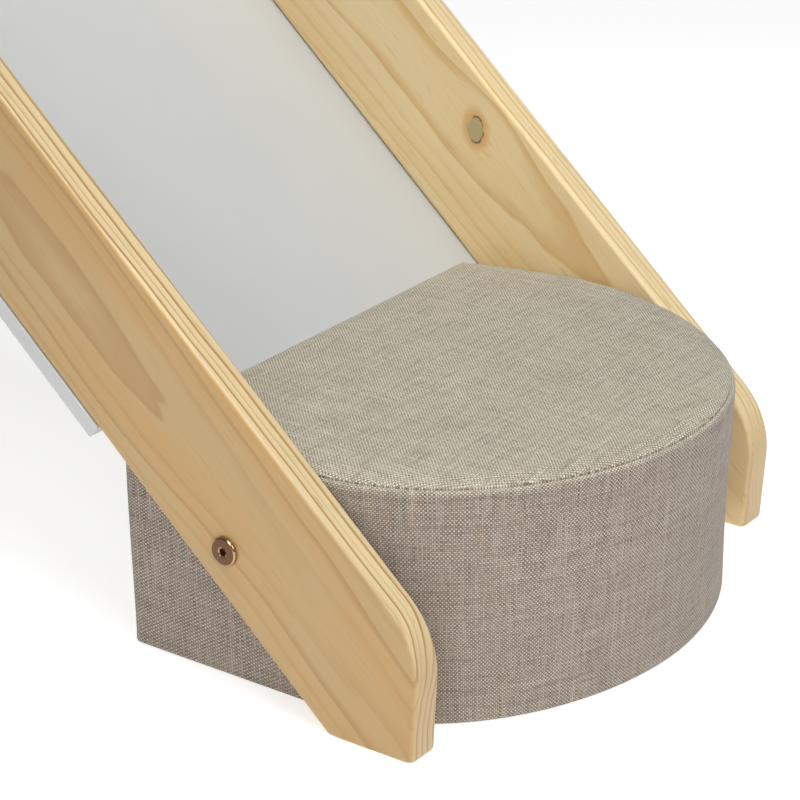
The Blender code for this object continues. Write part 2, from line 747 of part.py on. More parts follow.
def make_slide():
    clear_scene()
    finishes = all_materials()
    slide = frame_empty("slide_frame", None, (0.0, -MIDDLE, 0.0))
    slope = frame_empty("slope_frame", slide, (0.0, FOOT_LENGTH, 0.0), SLOPE)
    sides = (("left", -1), ("right", 1))

    rails = {side: make_rail(side, sign, slide, finishes["pine"]) for side, sign in sides}
    deck = make_deck(slope, finishes["white_board"])
    names = ("lower_batten", "upper_batten")
    battens = [
        make_batten(name, along, slope, finishes["pine"])
        for name, along in zip(names, BATTEN_PLACES)
    ]
    threshold = make_threshold_rail(slope, finishes["pine"])
    make_deck_screws(slope, deck, rails, finishes["zinc_steel"])
    make_batten_screws(slope, deck, rails, battens, finishes["zinc_steel"])

    cover = make_cover(slide, finishes["linen"])
    wrap = make_foam(slide, finishes["foam"])
    cheeks = make_carcass(slide, finishes)
    make_dust_cover(slide, finishes["dust_cloth"])

    for side, sign in sides:
        make_threshold_joint(side, sign, slope, rails[side], threshold, finishes)
        make_hook(side, sign, slide, threshold, finishes)
        make_block_joint(side, sign, slide, rails[side], cover, wrap, cheeks[side], finishes)


make_slide()
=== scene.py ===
"""Looks of the toddler slide: fine timber, board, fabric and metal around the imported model.

Metres, +Z up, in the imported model's own frame. Slope coordinates start at the heels of the
rails' feet: `along` runs up the slope, `off` stands square out of the sliding surface.
"""

import math
from functools import partial, partialmethod

import bmesh
import bpy
import numpy as np
from mathutils import Matrix, Vector
from mathutils.bvhtree import BVHTree


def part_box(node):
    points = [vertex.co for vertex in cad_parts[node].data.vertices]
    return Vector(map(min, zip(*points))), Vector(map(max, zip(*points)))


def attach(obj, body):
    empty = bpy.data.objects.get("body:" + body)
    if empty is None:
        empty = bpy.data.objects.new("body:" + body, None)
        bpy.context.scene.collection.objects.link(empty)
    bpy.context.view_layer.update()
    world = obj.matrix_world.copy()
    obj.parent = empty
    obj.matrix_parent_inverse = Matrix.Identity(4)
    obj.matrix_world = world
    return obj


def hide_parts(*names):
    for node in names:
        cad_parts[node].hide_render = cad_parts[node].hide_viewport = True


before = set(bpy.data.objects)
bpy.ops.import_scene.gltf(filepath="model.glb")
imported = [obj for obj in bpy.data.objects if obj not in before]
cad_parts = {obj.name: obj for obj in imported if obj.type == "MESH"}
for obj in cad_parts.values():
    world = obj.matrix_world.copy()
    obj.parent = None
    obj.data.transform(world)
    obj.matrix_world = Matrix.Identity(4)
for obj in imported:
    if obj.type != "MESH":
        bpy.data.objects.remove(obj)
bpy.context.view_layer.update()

# Driving dimensions that the frame's boxes don't give
SLOPE = math.radians(42.7)
FOOT_LENGTH = 0.0576
RAIL_DEPTH = 0.095
NOSE_RADIUS = 0.055
TOP_END_RADIUS = 0.030
RAIL_ARRIS = 0.003
FOOT_ARRIS = 0.0012
CORNER_ROUND = 0.0034
NOSE_LEAN = 0.0055
GAP = 0.0003
DECK_UNDERSIDE = -0.0103
DECK_END = 0.1965
DECK_ROUND = 0.0010
BATTEN_THICKNESS = 0.021
BATTEN_WIDTH = 0.045
THRESHOLD_THICKNESS = 0.034
THRESHOLD_WIDTH = 0.070
TIMBER_ARRIS = 0.0022
HOOK_STEEL = 0.003
HOOK_BEND = 0.0015
HOOK_EDGE = 0.0004
HOOK_LIP = 0.034

# Fasteners: radii and depths of the heads, and the lengths below them
BOLT_HEAD = 0.0085
BOLT_SHANK = 0.0030
BOLT_SOCKET = 0.0022
BOLT_HEAD_HEIGHT = 0.0024
SCREW_HEAD = 0.0040
SCREW_SHANK = 0.0020
SCREW_CONE = 0.0024
SCREW_POINT = 0.004
THRESHOLD_BOLT_LENGTH = 0.060
DECK_SCREW_LENGTH = 0.030
BATTEN_SCREW_LENGTH = 0.050
HOOK_SCREW_LENGTH = 0.025

# Places read from the frame
RAIL_LOW, RAIL_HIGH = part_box("right_rail")
HALF_CHANNEL = RAIL_LOW.x
HALF_WIDTH = RAIL_HIGH.x
TOE_Y = RAIL_LOW.y
TOP_END_Y = RAIL_HIGH.y
TOP_END_Z = (TOP_END_Y - TOE_Y - FOOT_LENGTH) * math.tan(SLOPE)

UP_SLOPE = Vector((0.0, math.cos(SLOPE), math.sin(SLOPE)))
OFF_SLOPE = Vector((0.0, -math.sin(SLOPE), math.cos(SLOPE)))
ACROSS = Vector((1.0, 0.0, 0.0))
HEEL = Vector((0.0, TOE_Y + FOOT_LENGTH, 0.0))

RAIL_AXES = (UP_SLOPE, OFF_SLOPE, ACROSS)
CROSS_AXES = (ACROSS, UP_SLOPE, OFF_SLOPE)

SIDES = (("left", -1), ("right", 1))


def slope_point(along, off, x):
    return HEEL + UP_SLOPE * along + OFF_SLOPE * off + ACROSS * x


# Mesh helpers

def placed(name, data):
    item = bpy.data.objects.new(name, data)
    bpy.context.scene.collection.objects.link(item)
    return item


def object_from(name, bm, finish, smooth_angle):
    bmesh.ops.recalc_face_normals(bm, faces=bm.faces)
    mesh = bpy.data.meshes.new(name)
    bm.to_mesh(mesh)
    bm.free()
    mesh.shade_smooth()
    mesh.set_sharp_from_angle(angle=math.radians(smooth_angle))
    mesh.materials.append(finish)
    return placed(name, mesh)


def stand_for(item, node):
    """The piece rides on the slide and stands for its CAD node, which is hidden."""
    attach(item, "root")
    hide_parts(node)


def join_rows(bm, rows):
    """Faces between rows of vertices that run all the way round."""
    for lower, upper in zip(rows, rows[1:]):
        count = len(lower)
        for step in range(count):
            after = (step + 1) % count
            bm.faces.new((lower[step], lower[after], upper[after], upper[step]))


def closed_object(name, rows, finish, smooth_angle):
    """An object from rows of points that run all the way round, closed at both ends."""
    bm = bmesh.new()
    rings = [[bm.verts.new(point) for point in row] for row in rows]
    join_rows(bm, rings)
    bm.faces.new(rings[0])
    bm.faces.new(rings[-1])
    return object_from(name, bm, finish, smooth_angle)


def fillet(before, corner, after, radius, steps):
    """Points of an arc that rounds a corner of a flat outline."""
    before, corner, after = Vector(before), Vector(corner), Vector(after)
    to_before = (before - corner).normalized()
    to_after = (after - corner).normalized()
    half = to_before.angle(to_after) / 2
    centre = corner + (to_before + to_after).normalized() * radius / math.sin(half)
    first = corner + to_before * radius / math.tan(half) - centre
    last = corner + to_after * radius / math.tan(half) - centre
    sweep = first.angle_signed(last)
    turns = [Matrix.Rotation(-sweep * step / steps, 2) for step in range(steps + 1)]
    return [centre + turn @ first for turn in turns]


def rounded_corners(outline, radius, steps=5):
    points = []
    for index, corner in enumerate(outline):
        after = outline[(index + 1) % len(outline)]
        points += fillet(outline[index - 1], corner, after, radius, steps)
    return points


def inset_outline(points, distances):
    """The outline with each edge moved inwards by its own distance."""
    count = len(points)
    area = sum(points[i - 1].cross(points[i]) for i in range(count))
    inward = 1.0 if area > 0 else -1.0
    normals = []
    for i in range(count):
        edge = (points[(i + 1) % count] - points[i]).normalized()
        normals.append(Vector((-edge.y, edge.x)) * inward)
    moved = []
    for i, point in enumerate(points):
        n1, n2 = normals[i - 1], normals[i]
        d1, d2 = distances[i - 1], distances[i]
        det = n1.cross(n2)
        if abs(det) < 0.05:
            moved.append(point + (n1 + n2).normalized() * (d1 + d2) / 2)
            continue
        x = (d1 * n2.y - d2 * n1.y) / det
        y = (n1.x * d2 - n2.x * d1) / det
        moved.append(point + Vector((x, y)))
    return moved


def rounded_plate(name, node, outline, radii, depths, to_world, finish, steps=5):
    """A plate between two depths whose outline's edges are rounded by their own radii."""
    outline = [Vector(point) for point in outline]
    if isinstance(radii, float):
        radii = [radii] * len(outline)
    rows = []
    turns = [math.pi / 2 * step / steps for step in range(steps + 1)]
    for depth, direction, order in zip(depths, (1, -1), (turns, turns[::-1])):
        for turn in order:
            inset = [radius * (1 - math.sin(turn)) for radius in radii]
            sink = [radius * (1 - math.cos(turn)) for radius in radii]
            row = []
            for i, point in enumerate(inset_outline(outline, inset)):
                step_in = (sink[i - 1] + sink[i]) / 2
                row.append(to_world(point, depth + direction * step_in))
            rows.append(row)
    item = closed_object(name, rows, finish, smooth_angle=40)
    item.modifiers.new("even_normals", "WEIGHTED_NORMAL").keep_sharp = True
    stand_for(item, node)


# Node helpers

class Finish:
    """A material's node tree, built by short calls that return output sockets."""

    def __init__(self, name, **values):
        self.material = bpy.data.materials.new(name)
        self.material.use_nodes = True
        self.tree = self.material.node_tree
        self.shader = self.tree.nodes["Principled BSDF"]
        for socket, value in values.items():
            self.shader.inputs[socket.replace("_", " ")].default_value = value

    def feed(self, socket, value):
        if isinstance(value, bpy.types.NodeSocket):
            self.tree.links.new(value, socket)
        elif value is not None:
            socket.default_value = value

    def make(self, kind, inputs=(), **settings):
        node = self.tree.nodes.new("ShaderNode" + kind)
        for key, value in settings.items():
            setattr(node, key, value)
        for key, value in dict(inputs).items():
            self.feed(node.inputs[key], value)
        return node

    def calc(self, operation, a, b=None, c=None, clamp=False):
        node = self.make("Math", operation=operation, use_clamp=clamp)
        for socket, value in zip(node.inputs, (a, b, c)):
            self.feed(socket, value)
        return node.outputs[0]

    times = partialmethod(calc, "MULTIPLY")
    over = partialmethod(calc, "DIVIDE")
    plus = partialmethod(calc, "ADD")
    minus = partialmethod(calc, "SUBTRACT")
    times_plus = partialmethod(calc, "MULTIPLY_ADD")
    absolute = partialmethod(calc, "ABSOLUTE")
    floor = partialmethod(calc, "FLOOR")
    fraction = partialmethod(calc, "FRACT")
    sine = partialmethod(calc, "SINE")
    power = partialmethod(calc, "POWER")

    def dot(self, vector, direction):
        node = self.make("VectorMath", operation="DOT_PRODUCT")
        self.feed(node.inputs[0], vector)
        self.feed(node.inputs[1], tuple(direction))
        return node.outputs["Value"]

    def normal(self):
        return self.make("TexCoord").outputs["Normal"]

    def place(self):
        return self.make("TexCoord").outputs["Object"]

    def vector(self, x, y, z):
        return self.make("CombineXYZ", {"X": x, "Y": y, "Z": z}).outputs[0]

    def split(self, vector):
        return self.make("SeparateXYZ", {"Vector": vector}).outputs

    def noise(self, vector, scale, detail=2.0, roughness=0.5):
        return self.make("TexNoise", {"Vector": vector, "Scale": scale, "Detail": detail,
                                      "Roughness": roughness}).outputs[0]

    def chance(self, vector):
        node = self.make("TexWhiteNoise", {"Vector": vector}, noise_dimensions="3D")
        return node.outputs[0]

    def stretched(self, places, scales):
        """The three places as one vector, each times its own scale."""
        return self.vector(*(self.times(place, scale) for place, scale in zip(places, scales)))

    def ramp(self, value, stops, interpolation):
        node = self.make("ValToRGB", {"Fac": value})
        ramp = node.color_ramp
        ramp.interpolation = interpolation
        while len(ramp.elements) < len(stops):
            ramp.elements.new(0.5)
        for element, (place, colour) in zip(ramp.elements, stops):
            element.position = place
            element.color = (colour,) * 3 + (1.0,) if isinstance(colour, float) else (*colour, 1.0)
        return node.outputs[0]

    def step(self, value, low, high, to_low=0.0, to_high=1.0):
        """A smooth step from to_low to to_high as the value goes from low to high."""
        return self.make("MapRange", {"Value": value, "From Min": low, "From Max": high,
                                      "To Min": to_low, "To Max": to_high},
                         interpolation_type="SMOOTHSTEP").outputs[0]

    def mix(self, factor, a, b, blend="MIX"):
        node = self.make("Mix", data_type="RGBA", blend_type=blend)
        self.feed(node.inputs["Factor"], factor)
        self.feed(node.inputs[6], a if isinstance(a, bpy.types.NodeSocket) else (*a, 1.0))
        self.feed(node.inputs[7], b if isinstance(b, bpy.types.NodeSocket) else (*b, 1.0))
        return node.outputs[2]

    def toned(self, colour, tone):
        """The colour times a grey tone."""
        return self.mix(1.0, colour, self.vector(tone, tone, tone), "MULTIPLY")

    def skin(self, colour, height, distance, strength, roughness=None):
        """Sets the surface's colour, relief and, where given, roughness. Returns the material."""
        bump = self.make("Bump", {"Height": height, "Distance": distance, "Strength": strength})
        self.feed(self.shader.inputs["Base Color"], colour)
        self.feed(self.shader.inputs["Normal"], bump.outputs[0])
        self.feed(self.shader.inputs["Roughness"], roughness)
        return self.material


# Timber

# The rails are boards of two tones, and partly painted light: the right rail's pale tones are
# raised to make up for the shade it gets inside the channel.
DEEP_PINE = ((0.505, 0.342, 0.149), (0.535, 0.318, 0.112), (0.397, 0.219, 0.068))
PALE_PINE = ((0.850, 0.668, 0.372), (0.840, 0.622, 0.312), (0.690, 0.430, 0.150))
# Painted highlight mixed into the boards' edge faces
EDGE_FACE_HIGHLIGHT = (0.800, 0.690, 0.430)
# End faces' colour: end grain, deepened as painted shade for the block's shade at the right rail's
# foot
END_GRAIN_AND_SHADE = (0.520, 0.365, 0.175)
RESIN_DUCT = (0.330, 0.190, 0.075)
RING_SPACING = 0.0046
RING_STOPS = ((0.0, 0.0), (0.55, 0.07), (0.83, 0.75), (0.92, 1.0), (1.0, 0.0))

# How far the heart wanders along a board, across its thickness and its width
HEART_WANDER = (0.007, 0.020)

# The right rail's knot: place along and up the rail, lean, and the halves of its oval
KNOT = (0.2596, 0.0670, math.radians(43), 0.0092, 0.0068)
KNOT_REACH_ALONG = 0.034
KNOT_REACH_ACROSS = 0.019
KNOT_HALO = (0.680, 0.370, 0.125)
KNOT_BARK = (0.180, 0.070, 0.020)
KNOT_HEART = ((0.440, 0.365, 0.165), (0.500, 0.400, 0.185))


def pine(name, tones, origin, axes, heart, drift, seed, knot=None):
    """Lacquered pine cut from a tree whose heart lies off the board.

    axes are the directions of the board's length, width and thickness. heart is the heart's
    distance from the board's origin across the thickness and the width, and drift is how far
    it moves per metre of length.
    """
    made = Finish(name, Roughness=0.42, Coat_Weight=0.18, Coat_Roughness=0.28)
    where = made.place()
    along, width, thick = (made.minus(made.dot(where, axis), float(origin @ axis))
                           for axis in axes)
    if knot is not None:
        knot_distance = knot_distance_of(made, along, width, knot)
        width = grain_round_knot(made, along, width, knot)
    normal = made.normal()
    on_edge = made.step(made.absolute(made.dot(normal, axes[2])), 0.35, 0.85, 1.0, 0.0)
    endways = made.step(made.absolute(made.dot(normal, axes[0])), 0.15, 0.75, 0.0, 0.85)

    radius = ring_radius(made, along, width, thick, heart, drift, seed)
    late = late_wood(made, radius, along, on_edge, seed)
    colour = early_wood(made, tones, along, width, on_edge, endways, seed)
    colour = made.mix(late, colour, tones[2])
    colour, fibre = add_fibres(made, colour, along, width, thick)
    height = made.times_plus(late, 0.6, made.times(fibre, 0.4))
    if knot is not None:
        colour, height = draw_knot(made, colour, height, knot_distance, where)
    return made.skin(colour, height, 0.00006, 0.6, made.step(late, 0.0, 1.0, 0.44, 0.36))


def ring_radius(made, along, width, thick, heart, drift, seed):
    """Distance from the tree's heart, which wanders along the board, with a fine waver."""
    slow = made.times(along, 3.2)
    middle = []
    for start, move, reach, layer in zip(heart, drift, HEART_WANDER, (0.0, 5.0)):
        wander = made.noise(made.vector(slow, seed, layer), 1.0, 1.0)
        middle.append(made.times_plus(wander, reach, made.times_plus(along, move, start)))
    across_thick = made.minus(thick, middle[0])
    across_width = made.minus(width, middle[1])
    squares = made.times(across_width, across_width)
    squares = made.times_plus(across_thick, across_thick, squares)
    stretched = made.vector(made.times(along, 9.0), made.times(width, 42.0),
                            made.times_plus(thick, 42.0, seed))
    return made.times_plus(made.noise(stretched, 1.0, 2.0), 0.0042, made.calc("SQRT", squares))


def late_wood(made, radius, along, on_edge, seed):
    """How dark the late wood of each ring is. No two rings are alike, and edges show them more."""
    uneven = made.noise(made.vector(radius, seed, 2.0), 70.0, 1.0)
    phase = made.times_plus(uneven, 1.1, made.over(radius, RING_SPACING))
    late = made.ramp(made.fraction(phase), RING_STOPS, "EASE")
    number = made.floor(phase)
    each = made.make("TexWhiteNoise", {"W": number}, noise_dimensions="1D").outputs[0]
    along_ring = made.noise(made.vector(made.times(along, 5.0), number, seed), 1.0, 1.0)
    strength = made.times_plus(along_ring, 0.80, made.times_plus(each, 0.55, -0.08))
    strength = made.times(strength, made.times_plus(on_edge, 0.6, 1.0))
    return made.calc("MULTIPLY", late, strength, clamp=True)


def early_wood(made, tones, along, width, on_edge, endways, seed):
    """The pale wood between the rings: cloudy, with a painted highlight that lightens the edge
    faces, and darker at the ends, partly end grain and partly painted shade.
    """
    cloud = made.noise(made.vector(made.times(along, 5.0), made.times(width, 26.0), seed), 1.0, 2.0)
    early = made.mix(made.step(cloud, 0.35, 0.70), tones[0], tones[1])
    # Painted highlight: the edge faces are mixed towards a pale colour, as if they caught more
    # light.
    early = made.mix(made.times(on_edge, 0.62), early, EDGE_FACE_HIGHLIGHT)
    # Partly end grain and partly painted shade: the end faces are mixed towards a darker colour
    # that stands in for the block's shade at the right rail's foot.
    return made.mix(endways, early, END_GRAIN_AND_SHADE)


def add_fibres(made, colour, along, width, thick):
    """The colour with fine fibres, painted shade up the board and dark resin ducts along the board,
    and the fibres alone.
    """
    place = made.stretched((along, width, thick), (16.0, 900.0, 900.0))
    fibre = made.noise(place, 1.0, 3.0, 0.6)
    tone = made.step(fibre, 0.25, 0.75, 0.955, 1.035)
    # Painted shade: the board is darkened by up to 14 % from 0.22 m to 0.52 m along it, as light
    # falling off up the slide.
    tone = made.times(tone, made.step(along, 0.22, 0.52, 1.0, 0.86))
    colour = made.toned(colour, tone)
    place = made.vector(made.times(along, 55.0), made.times(width, 700.0),
                        made.times_plus(thick, 700.0, 30.0))
    ducts = made.step(made.noise(place, 1.0, 0.0), 0.74, 0.82, 0.0, 0.30)
    return made.mix(ducts, colour, RESIN_DUCT), fibre


def knot_distance_of(made, along, width, knot):
    """Distance from the knot's centre in units of its leaning oval."""
    place_along, place_width, lean, long_half, short_half = knot
    u = made.minus(along, place_along)
    v = made.minus(width, place_width)
    long_way = made.times_plus(u, math.cos(lean), made.times(v, math.sin(lean)))
    long_way = made.over(long_way, long_half)
    short_way = made.times_plus(v, math.cos(lean), made.times(u, -math.sin(lean)))
    short_way = made.over(short_way, short_half)
    squares = made.times_plus(long_way, long_way, made.times(short_way, short_way))
    return made.calc("SQRT", squares)


def grain_round_knot(made, along, width, knot):
    """The width coordinate, bent so that the grain flows round the knot."""
    u = made.over(made.minus(along, knot[0]), KNOT_REACH_ALONG)
    v = made.minus(width, knot[1])
    flat = made.over(v, KNOT_REACH_ACROSS)
    spread = made.times_plus(u, u, made.times(flat, flat))
    pull = made.calc("EXPONENT", made.times(spread, -1.0))
    return made.times_plus(v, made.times_plus(pull, -0.85, 1.0), knot[1])


def draw_knot(made, colour, height, distance, where):
    """A sound knot: pale greenish heart, a broken dark bark ring and an orange halo."""
    ragged = made.noise(where, 150.0, 3.0, 0.6)
    edge = made.times_plus(ragged, 0.60, made.minus(distance, 0.24))
    colour = made.mix(made.step(edge, 1.0, 2.0, 0.85, 0.0), colour, KNOT_HALO)
    heart = made.mix(made.noise(where, 420.0, 2.0), *KNOT_HEART)
    colour = made.mix(made.step(edge, 0.92, 1.00, 1.0, 0.0), colour, heart)
    broken = made.step(made.noise(where, 120.0, 1.0), 0.46, 0.56)
    ring = made.times(made.step(edge, 0.88, 0.97), made.step(edge, 1.00, 1.10, 1.0, 0.0))
    colour = made.mix(made.times(ring, broken), colour, KNOT_BARK)
    return colour, made.plus(height, made.times(ring, -1.6))


def rail_outline():
    """The rail's (y, z) outline and the arris radius along each of its edges."""
    toe = (TOE_Y, 0.0)
    heel = (TOE_Y + FOOT_LENGTH, 0.0)
    top_low = (TOP_END_Y, TOP_END_Z)
    top_high = (TOP_END_Y, TOP_END_Z + RAIL_DEPTH / math.cos(SLOPE))
    nose_y = TOE_Y - NOSE_LEAN
    nose = (nose_y, top_high[1] - (TOP_END_Y - nose_y) * math.tan(SLOPE))
    foot_edge = 5
    corners = (
        (nose, toe, heel, CORNER_ROUND, foot_edge),
        (toe, heel, top_low, CORNER_ROUND, 5),
        (heel, top_low, top_high, CORNER_ROUND, 5),
        (top_low, top_high, nose, TOP_END_RADIUS, 20),
        (top_high, nose, toe, NOSE_RADIUS, 28),
    )
    points, radii = [], []
    for before, corner, after, radius, steps in corners:
        arc = fillet(before, corner, after, radius, steps)
        points += arc
        radii += [RAIL_ARRIS] * len(arc)
    radii[foot_edge] = FOOT_ARRIS
    return points, radii


# Landing block

BLOCK_HEIGHT = 0.1385
CROWN_TOP = 0.1462
BLOCK_FRONT_TOP = TOE_Y - 0.0610
BLOCK_FRONT_BASE = TOE_Y - 0.0505
BLOCK_CURVE_START = TOE_Y + 0.1275

# Where each straight side ends, and how full the curve after it is
LEFT_AT_SEAM = (TOE_Y + 0.0850, 1.97)
LEFT_AT_FLOOR = (TOE_Y + 0.0734, 1.95)
RIGHT_AT_SEAM = (BLOCK_CURVE_START, 2.03)
RIGHT_AT_FLOOR = (TOE_Y + 0.0734, 1.90)

HALF_BLOCK, BLOCK_BACK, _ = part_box("block_cover")[1]
BLOCK_CORNER = 0.004
EDGE_RISE = 0.0052
EDGE_ROUND = 0.0080
SEAM_TURN = math.radians(40)
SEAM_DEPTH = 0.0010
SEAM_HALF_WIDTH = 0.00055
SEAM_FADE = 0.022
HEM_HEIGHT = 0.003
WALL_SWELL = 0.0016
TOP_SWELL = 0.0060
FOLD_HEIGHT = 0.00010
FOLD_REACH = 0.018
SLACK_HEIGHT = 0.00016
LINING_DEPTH = 0.002
COVER_LOWEST = 0.0004
COVER_PLACES = 240
EVENING_PASSES = 6
BODY_INSET = 0.0005
CLOTH_MESH = 0.006
CLOTH_STEPS = 20
CLOTH_SETTINGS = {
    "quality": 6, "mass": 0.25, "tension_stiffness": 25, "compression_stiffness": 25,
    "bending_stiffness": 1.5, "use_pressure": True, "uniform_pressure_force": 4.0,
    "vertex_group_mass": "held",
}

# The share of the top panel that rolls over: everywhere, more at the back, most at its right
ROLL = 0.34
ROLL_AT_BACK = 0.10
ROLL_AT_BACK_RIGHT = 0.16
CROWN_FULLNESS = 2.6

# The deck's end presses the block's back edge down
PRESS_START = TOE_Y + 0.122
PRESS_FULL = TOE_Y + 0.2085
PRESS_AT_SIDE = 0.0105
PRESS_AT_BACK = 0.0170
PRESS_LOWEST = 0.060


def share_of(value, low, high):
    """How far a value has come from low (0) to high (1)."""
    return np.clip((value - low) / (high - low), 0.0, 1.0)


def curve_of(height, side):
    """Where a straight side ends and how full the curve after it is.

    Both curves start further back at the seam than at the floor, and the right one more so.
    """
    lean = share_of(height, 0.0, BLOCK_HEIGHT)
    seam_start, seam_roundness = LEFT_AT_SEAM if side < 0 else RIGHT_AT_SEAM
    floor_start, floor_roundness = LEFT_AT_FLOOR if side < 0 else RIGHT_AT_FLOOR
    return (floor_start + (seam_start - floor_start) * lean,
            floor_roundness + (seam_roundness - floor_roundness) * lean)


class BlockOutline:
    """Evenly spaced places round the block's D-shaped outline, at any height and inset."""

    def __init__(self, count):
        side = BLOCK_BACK - BLOCK_CORNER - BLOCK_CURVE_START
        turns = np.linspace(0.0, math.pi, 4001)
        curve = np.array([self.curve_point(turn, BLOCK_HEIGHT / 2, 0.0) for turn in turns])
        lengths = np.concatenate([[0.0], np.cumsum(np.hypot(*np.diff(curve, axis=0).T))])
        corner = BLOCK_CORNER * math.pi / 2
        back = 2 * (HALF_BLOCK - BLOCK_CORNER)
        runs = (("back", back / 2), ("corner", corner), ("side", side), ("curve", lengths[-1]),
                ("side", side), ("corner", corner), ("back", back / 2))
        self.length = sum(length for _, length in runs)
        self.places = []
        self.arc = []
        for step in range(count):
            travelled = self.length * step / count
            rest = travelled
            for index, (kind, length) in enumerate(runs):
                if rest <= length or index == len(runs) - 1:
                    break
                rest -= length
            share = rest / length
            if kind == "curve":
                share = float(np.interp(rest, lengths, turns)) / math.pi
            self.places.append((kind, -1 if index > 3 else 1, 1 - share if index > 3 else share))
            self.arc.append(travelled)

    @staticmethod
    def curve_point(turn, height, inset):
        lean = share_of(height, 0.0, BLOCK_HEIGHT)
        front = BLOCK_FRONT_BASE + (BLOCK_FRONT_TOP - BLOCK_FRONT_BASE) * lean + inset
        start, roundness = curve_of(height, math.cos(turn))
        power = 2 / roundness
        across = math.copysign(abs(math.cos(turn)) ** power, math.cos(turn))
        along = abs(math.sin(turn)) ** power
        return (HALF_BLOCK - inset) * across, start - (start - front) * along

    def point(self, place, height, inset):
        kind, sign, share = place
        half = HALF_BLOCK - inset
        back = BLOCK_BACK - inset
        round_off = max(BLOCK_CORNER - inset, 0.0002)
        if kind == "back":
            return sign * (half - round_off) * share, back
        if kind == "corner":
            turn = share * math.pi / 2
            x = half - round_off + round_off * math.sin(turn)
            return sign * x, back - round_off + round_off * math.cos(turn)
        if kind == "side":
            high = back - round_off
            return sign * half, high + (curve_of(height, sign)[0] - high) * share
        return self.curve_point(share * math.pi, height, inset)

    def ring(self, height, inset):
        return [(*self.point(place, height, inset), height) for place in self.places]


WALL_ROWS = 26
EDGE_ROWS = 18
HEM_ROWS = ((0.0010, 0.0180), (0.0008, 0.0090), (0.0006, 0.0040), (0.0005, 0.0015),
            (0.0007, 0.0006), (0.0012, 0.0001), (0.0022, 0.0))
TOP_SHARES = (0.012, 0.026, 0.042, 0.060, 0.080, 0.103, 0.130, 0.160, 0.195, 0.235, 0.280, 0.330,
              0.385, 0.445, 0.510, 0.580, 0.650, 0.720, 0.790, 0.855, 0.915, 0.965)


def cover_profile():
    """(height, inset) of the cover's rows: hem, wall, seam and the edge of the top panel."""
    wall_top = BLOCK_HEIGHT + EDGE_RISE - EDGE_ROUND
    wall_low = HEM_ROWS[-1][0]
    rows = list(HEM_ROWS)
    rows += [(wall_low + (wall_top - wall_low) * step / WALL_ROWS, 0.0)
             for step in range(1, WALL_ROWS + 1)]
    for step in range(1, EDGE_ROWS + 1):
        turn = math.pi / 2 * step / EDGE_ROWS
        from_seam = (turn - SEAM_TURN) * EDGE_ROUND / SEAM_HALF_WIDTH
        radius = EDGE_ROUND - SEAM_DEPTH * math.exp(-from_seam * from_seam)
        rows.append((wall_top + radius * math.sin(turn), EDGE_ROUND - radius * math.cos(turn)))
    return rows


def press(y):
    """How far the deck's end presses the block's edge down at each place."""
    near = share_of(y, PRESS_START, PRESS_FULL)
    last = share_of(y, PRESS_FULL, BLOCK_BACK)
    return PRESS_AT_SIDE * near ** 1.5 + (PRESS_AT_BACK - PRESS_AT_SIDE) * last


def eased(share):
    return share * share * (3 - 2 * share)


def crown_rise(share, roll):
    """The top panel's rise from its edge (0) to its crown (1), rolled over in its first part."""
    rest = np.clip(1 - share / roll, 0.0, 1.0)
    return (1 - rest ** CROWN_FULLNESS) ** (1 / CROWN_FULLNESS)


def cover_grid(outline):
    """The cover's points by row and place, how many rows its wall has, and its seam's row."""
    profile = cover_profile()
    grid = [outline.ring(height, inset) for height, inset in profile]
    seam_row = len(HEM_ROWS) + WALL_ROWS + round(EDGE_ROWS * SEAM_TURN / (math.pi / 2)) - 1
    edge = np.array(grid[-1])
    middle = np.array((0.0, (BLOCK_FRONT_TOP + BLOCK_BACK) / 2, edge[0, 2]))
    back = share_of(edge[:, 1], BLOCK_CURVE_START, BLOCK_BACK)
    roll = ROLL + ROLL_AT_BACK * back
    roll += ROLL_AT_BACK_RIGHT * back * share_of(edge[:, 0], 0.0, HALF_BLOCK)
    lowered = press(edge[:, 1])
    for share in TOP_SHARES:
        row = middle + (edge - middle) * (1 - share)
        rise = crown_rise(share, roll)
        row[:, 2] += (CROWN_TOP - edge[:, 2] + lowered) * rise
        grid.append([tuple(point) for point in row])
    grid = np.array(grid)
    grid[len(profile):, :, 2] -= lowered[None, :]
    wall = grid[:len(profile)]
    weight = eased(share_of(wall[:, :, 2], PRESS_LOWEST, BLOCK_HEIGHT))
    wall[:, :, 2] -= press(wall[:, :, 1]) * weight
    return grid, len(profile), seam_row


def grid_normals(grid):
    around = np.roll(grid, -1, axis=1) - np.roll(grid, 1, axis=1)
    along = np.gradient(grid, axis=0)
    normals = np.cross(along, around)
    lengths = np.linalg.norm(normals, axis=2, keepdims=True)
    return normals / np.maximum(lengths, 1e-12)


def padded_body(outline):
    """The block's plain body, a little smaller than the cover, remeshed for the cloth pass."""
    rows = [outline.ring(height, BODY_INSET) for height in (0.001, 0.070, BLOCK_HEIGHT)]
    body = closed_object("padded_body", rows, None, smooth_angle=35)
    remesh = body.modifiers.new("even_mesh", "REMESH")
    remesh.mode = "VOXEL"
    remesh.voxel_size = CLOTH_MESH
    graph = bpy.context.evaluated_depsgraph_get()
    made = bpy.data.meshes.new_from_object(body.evaluated_get(graph))
    body.modifiers.clear()
    body.data = made
    return body


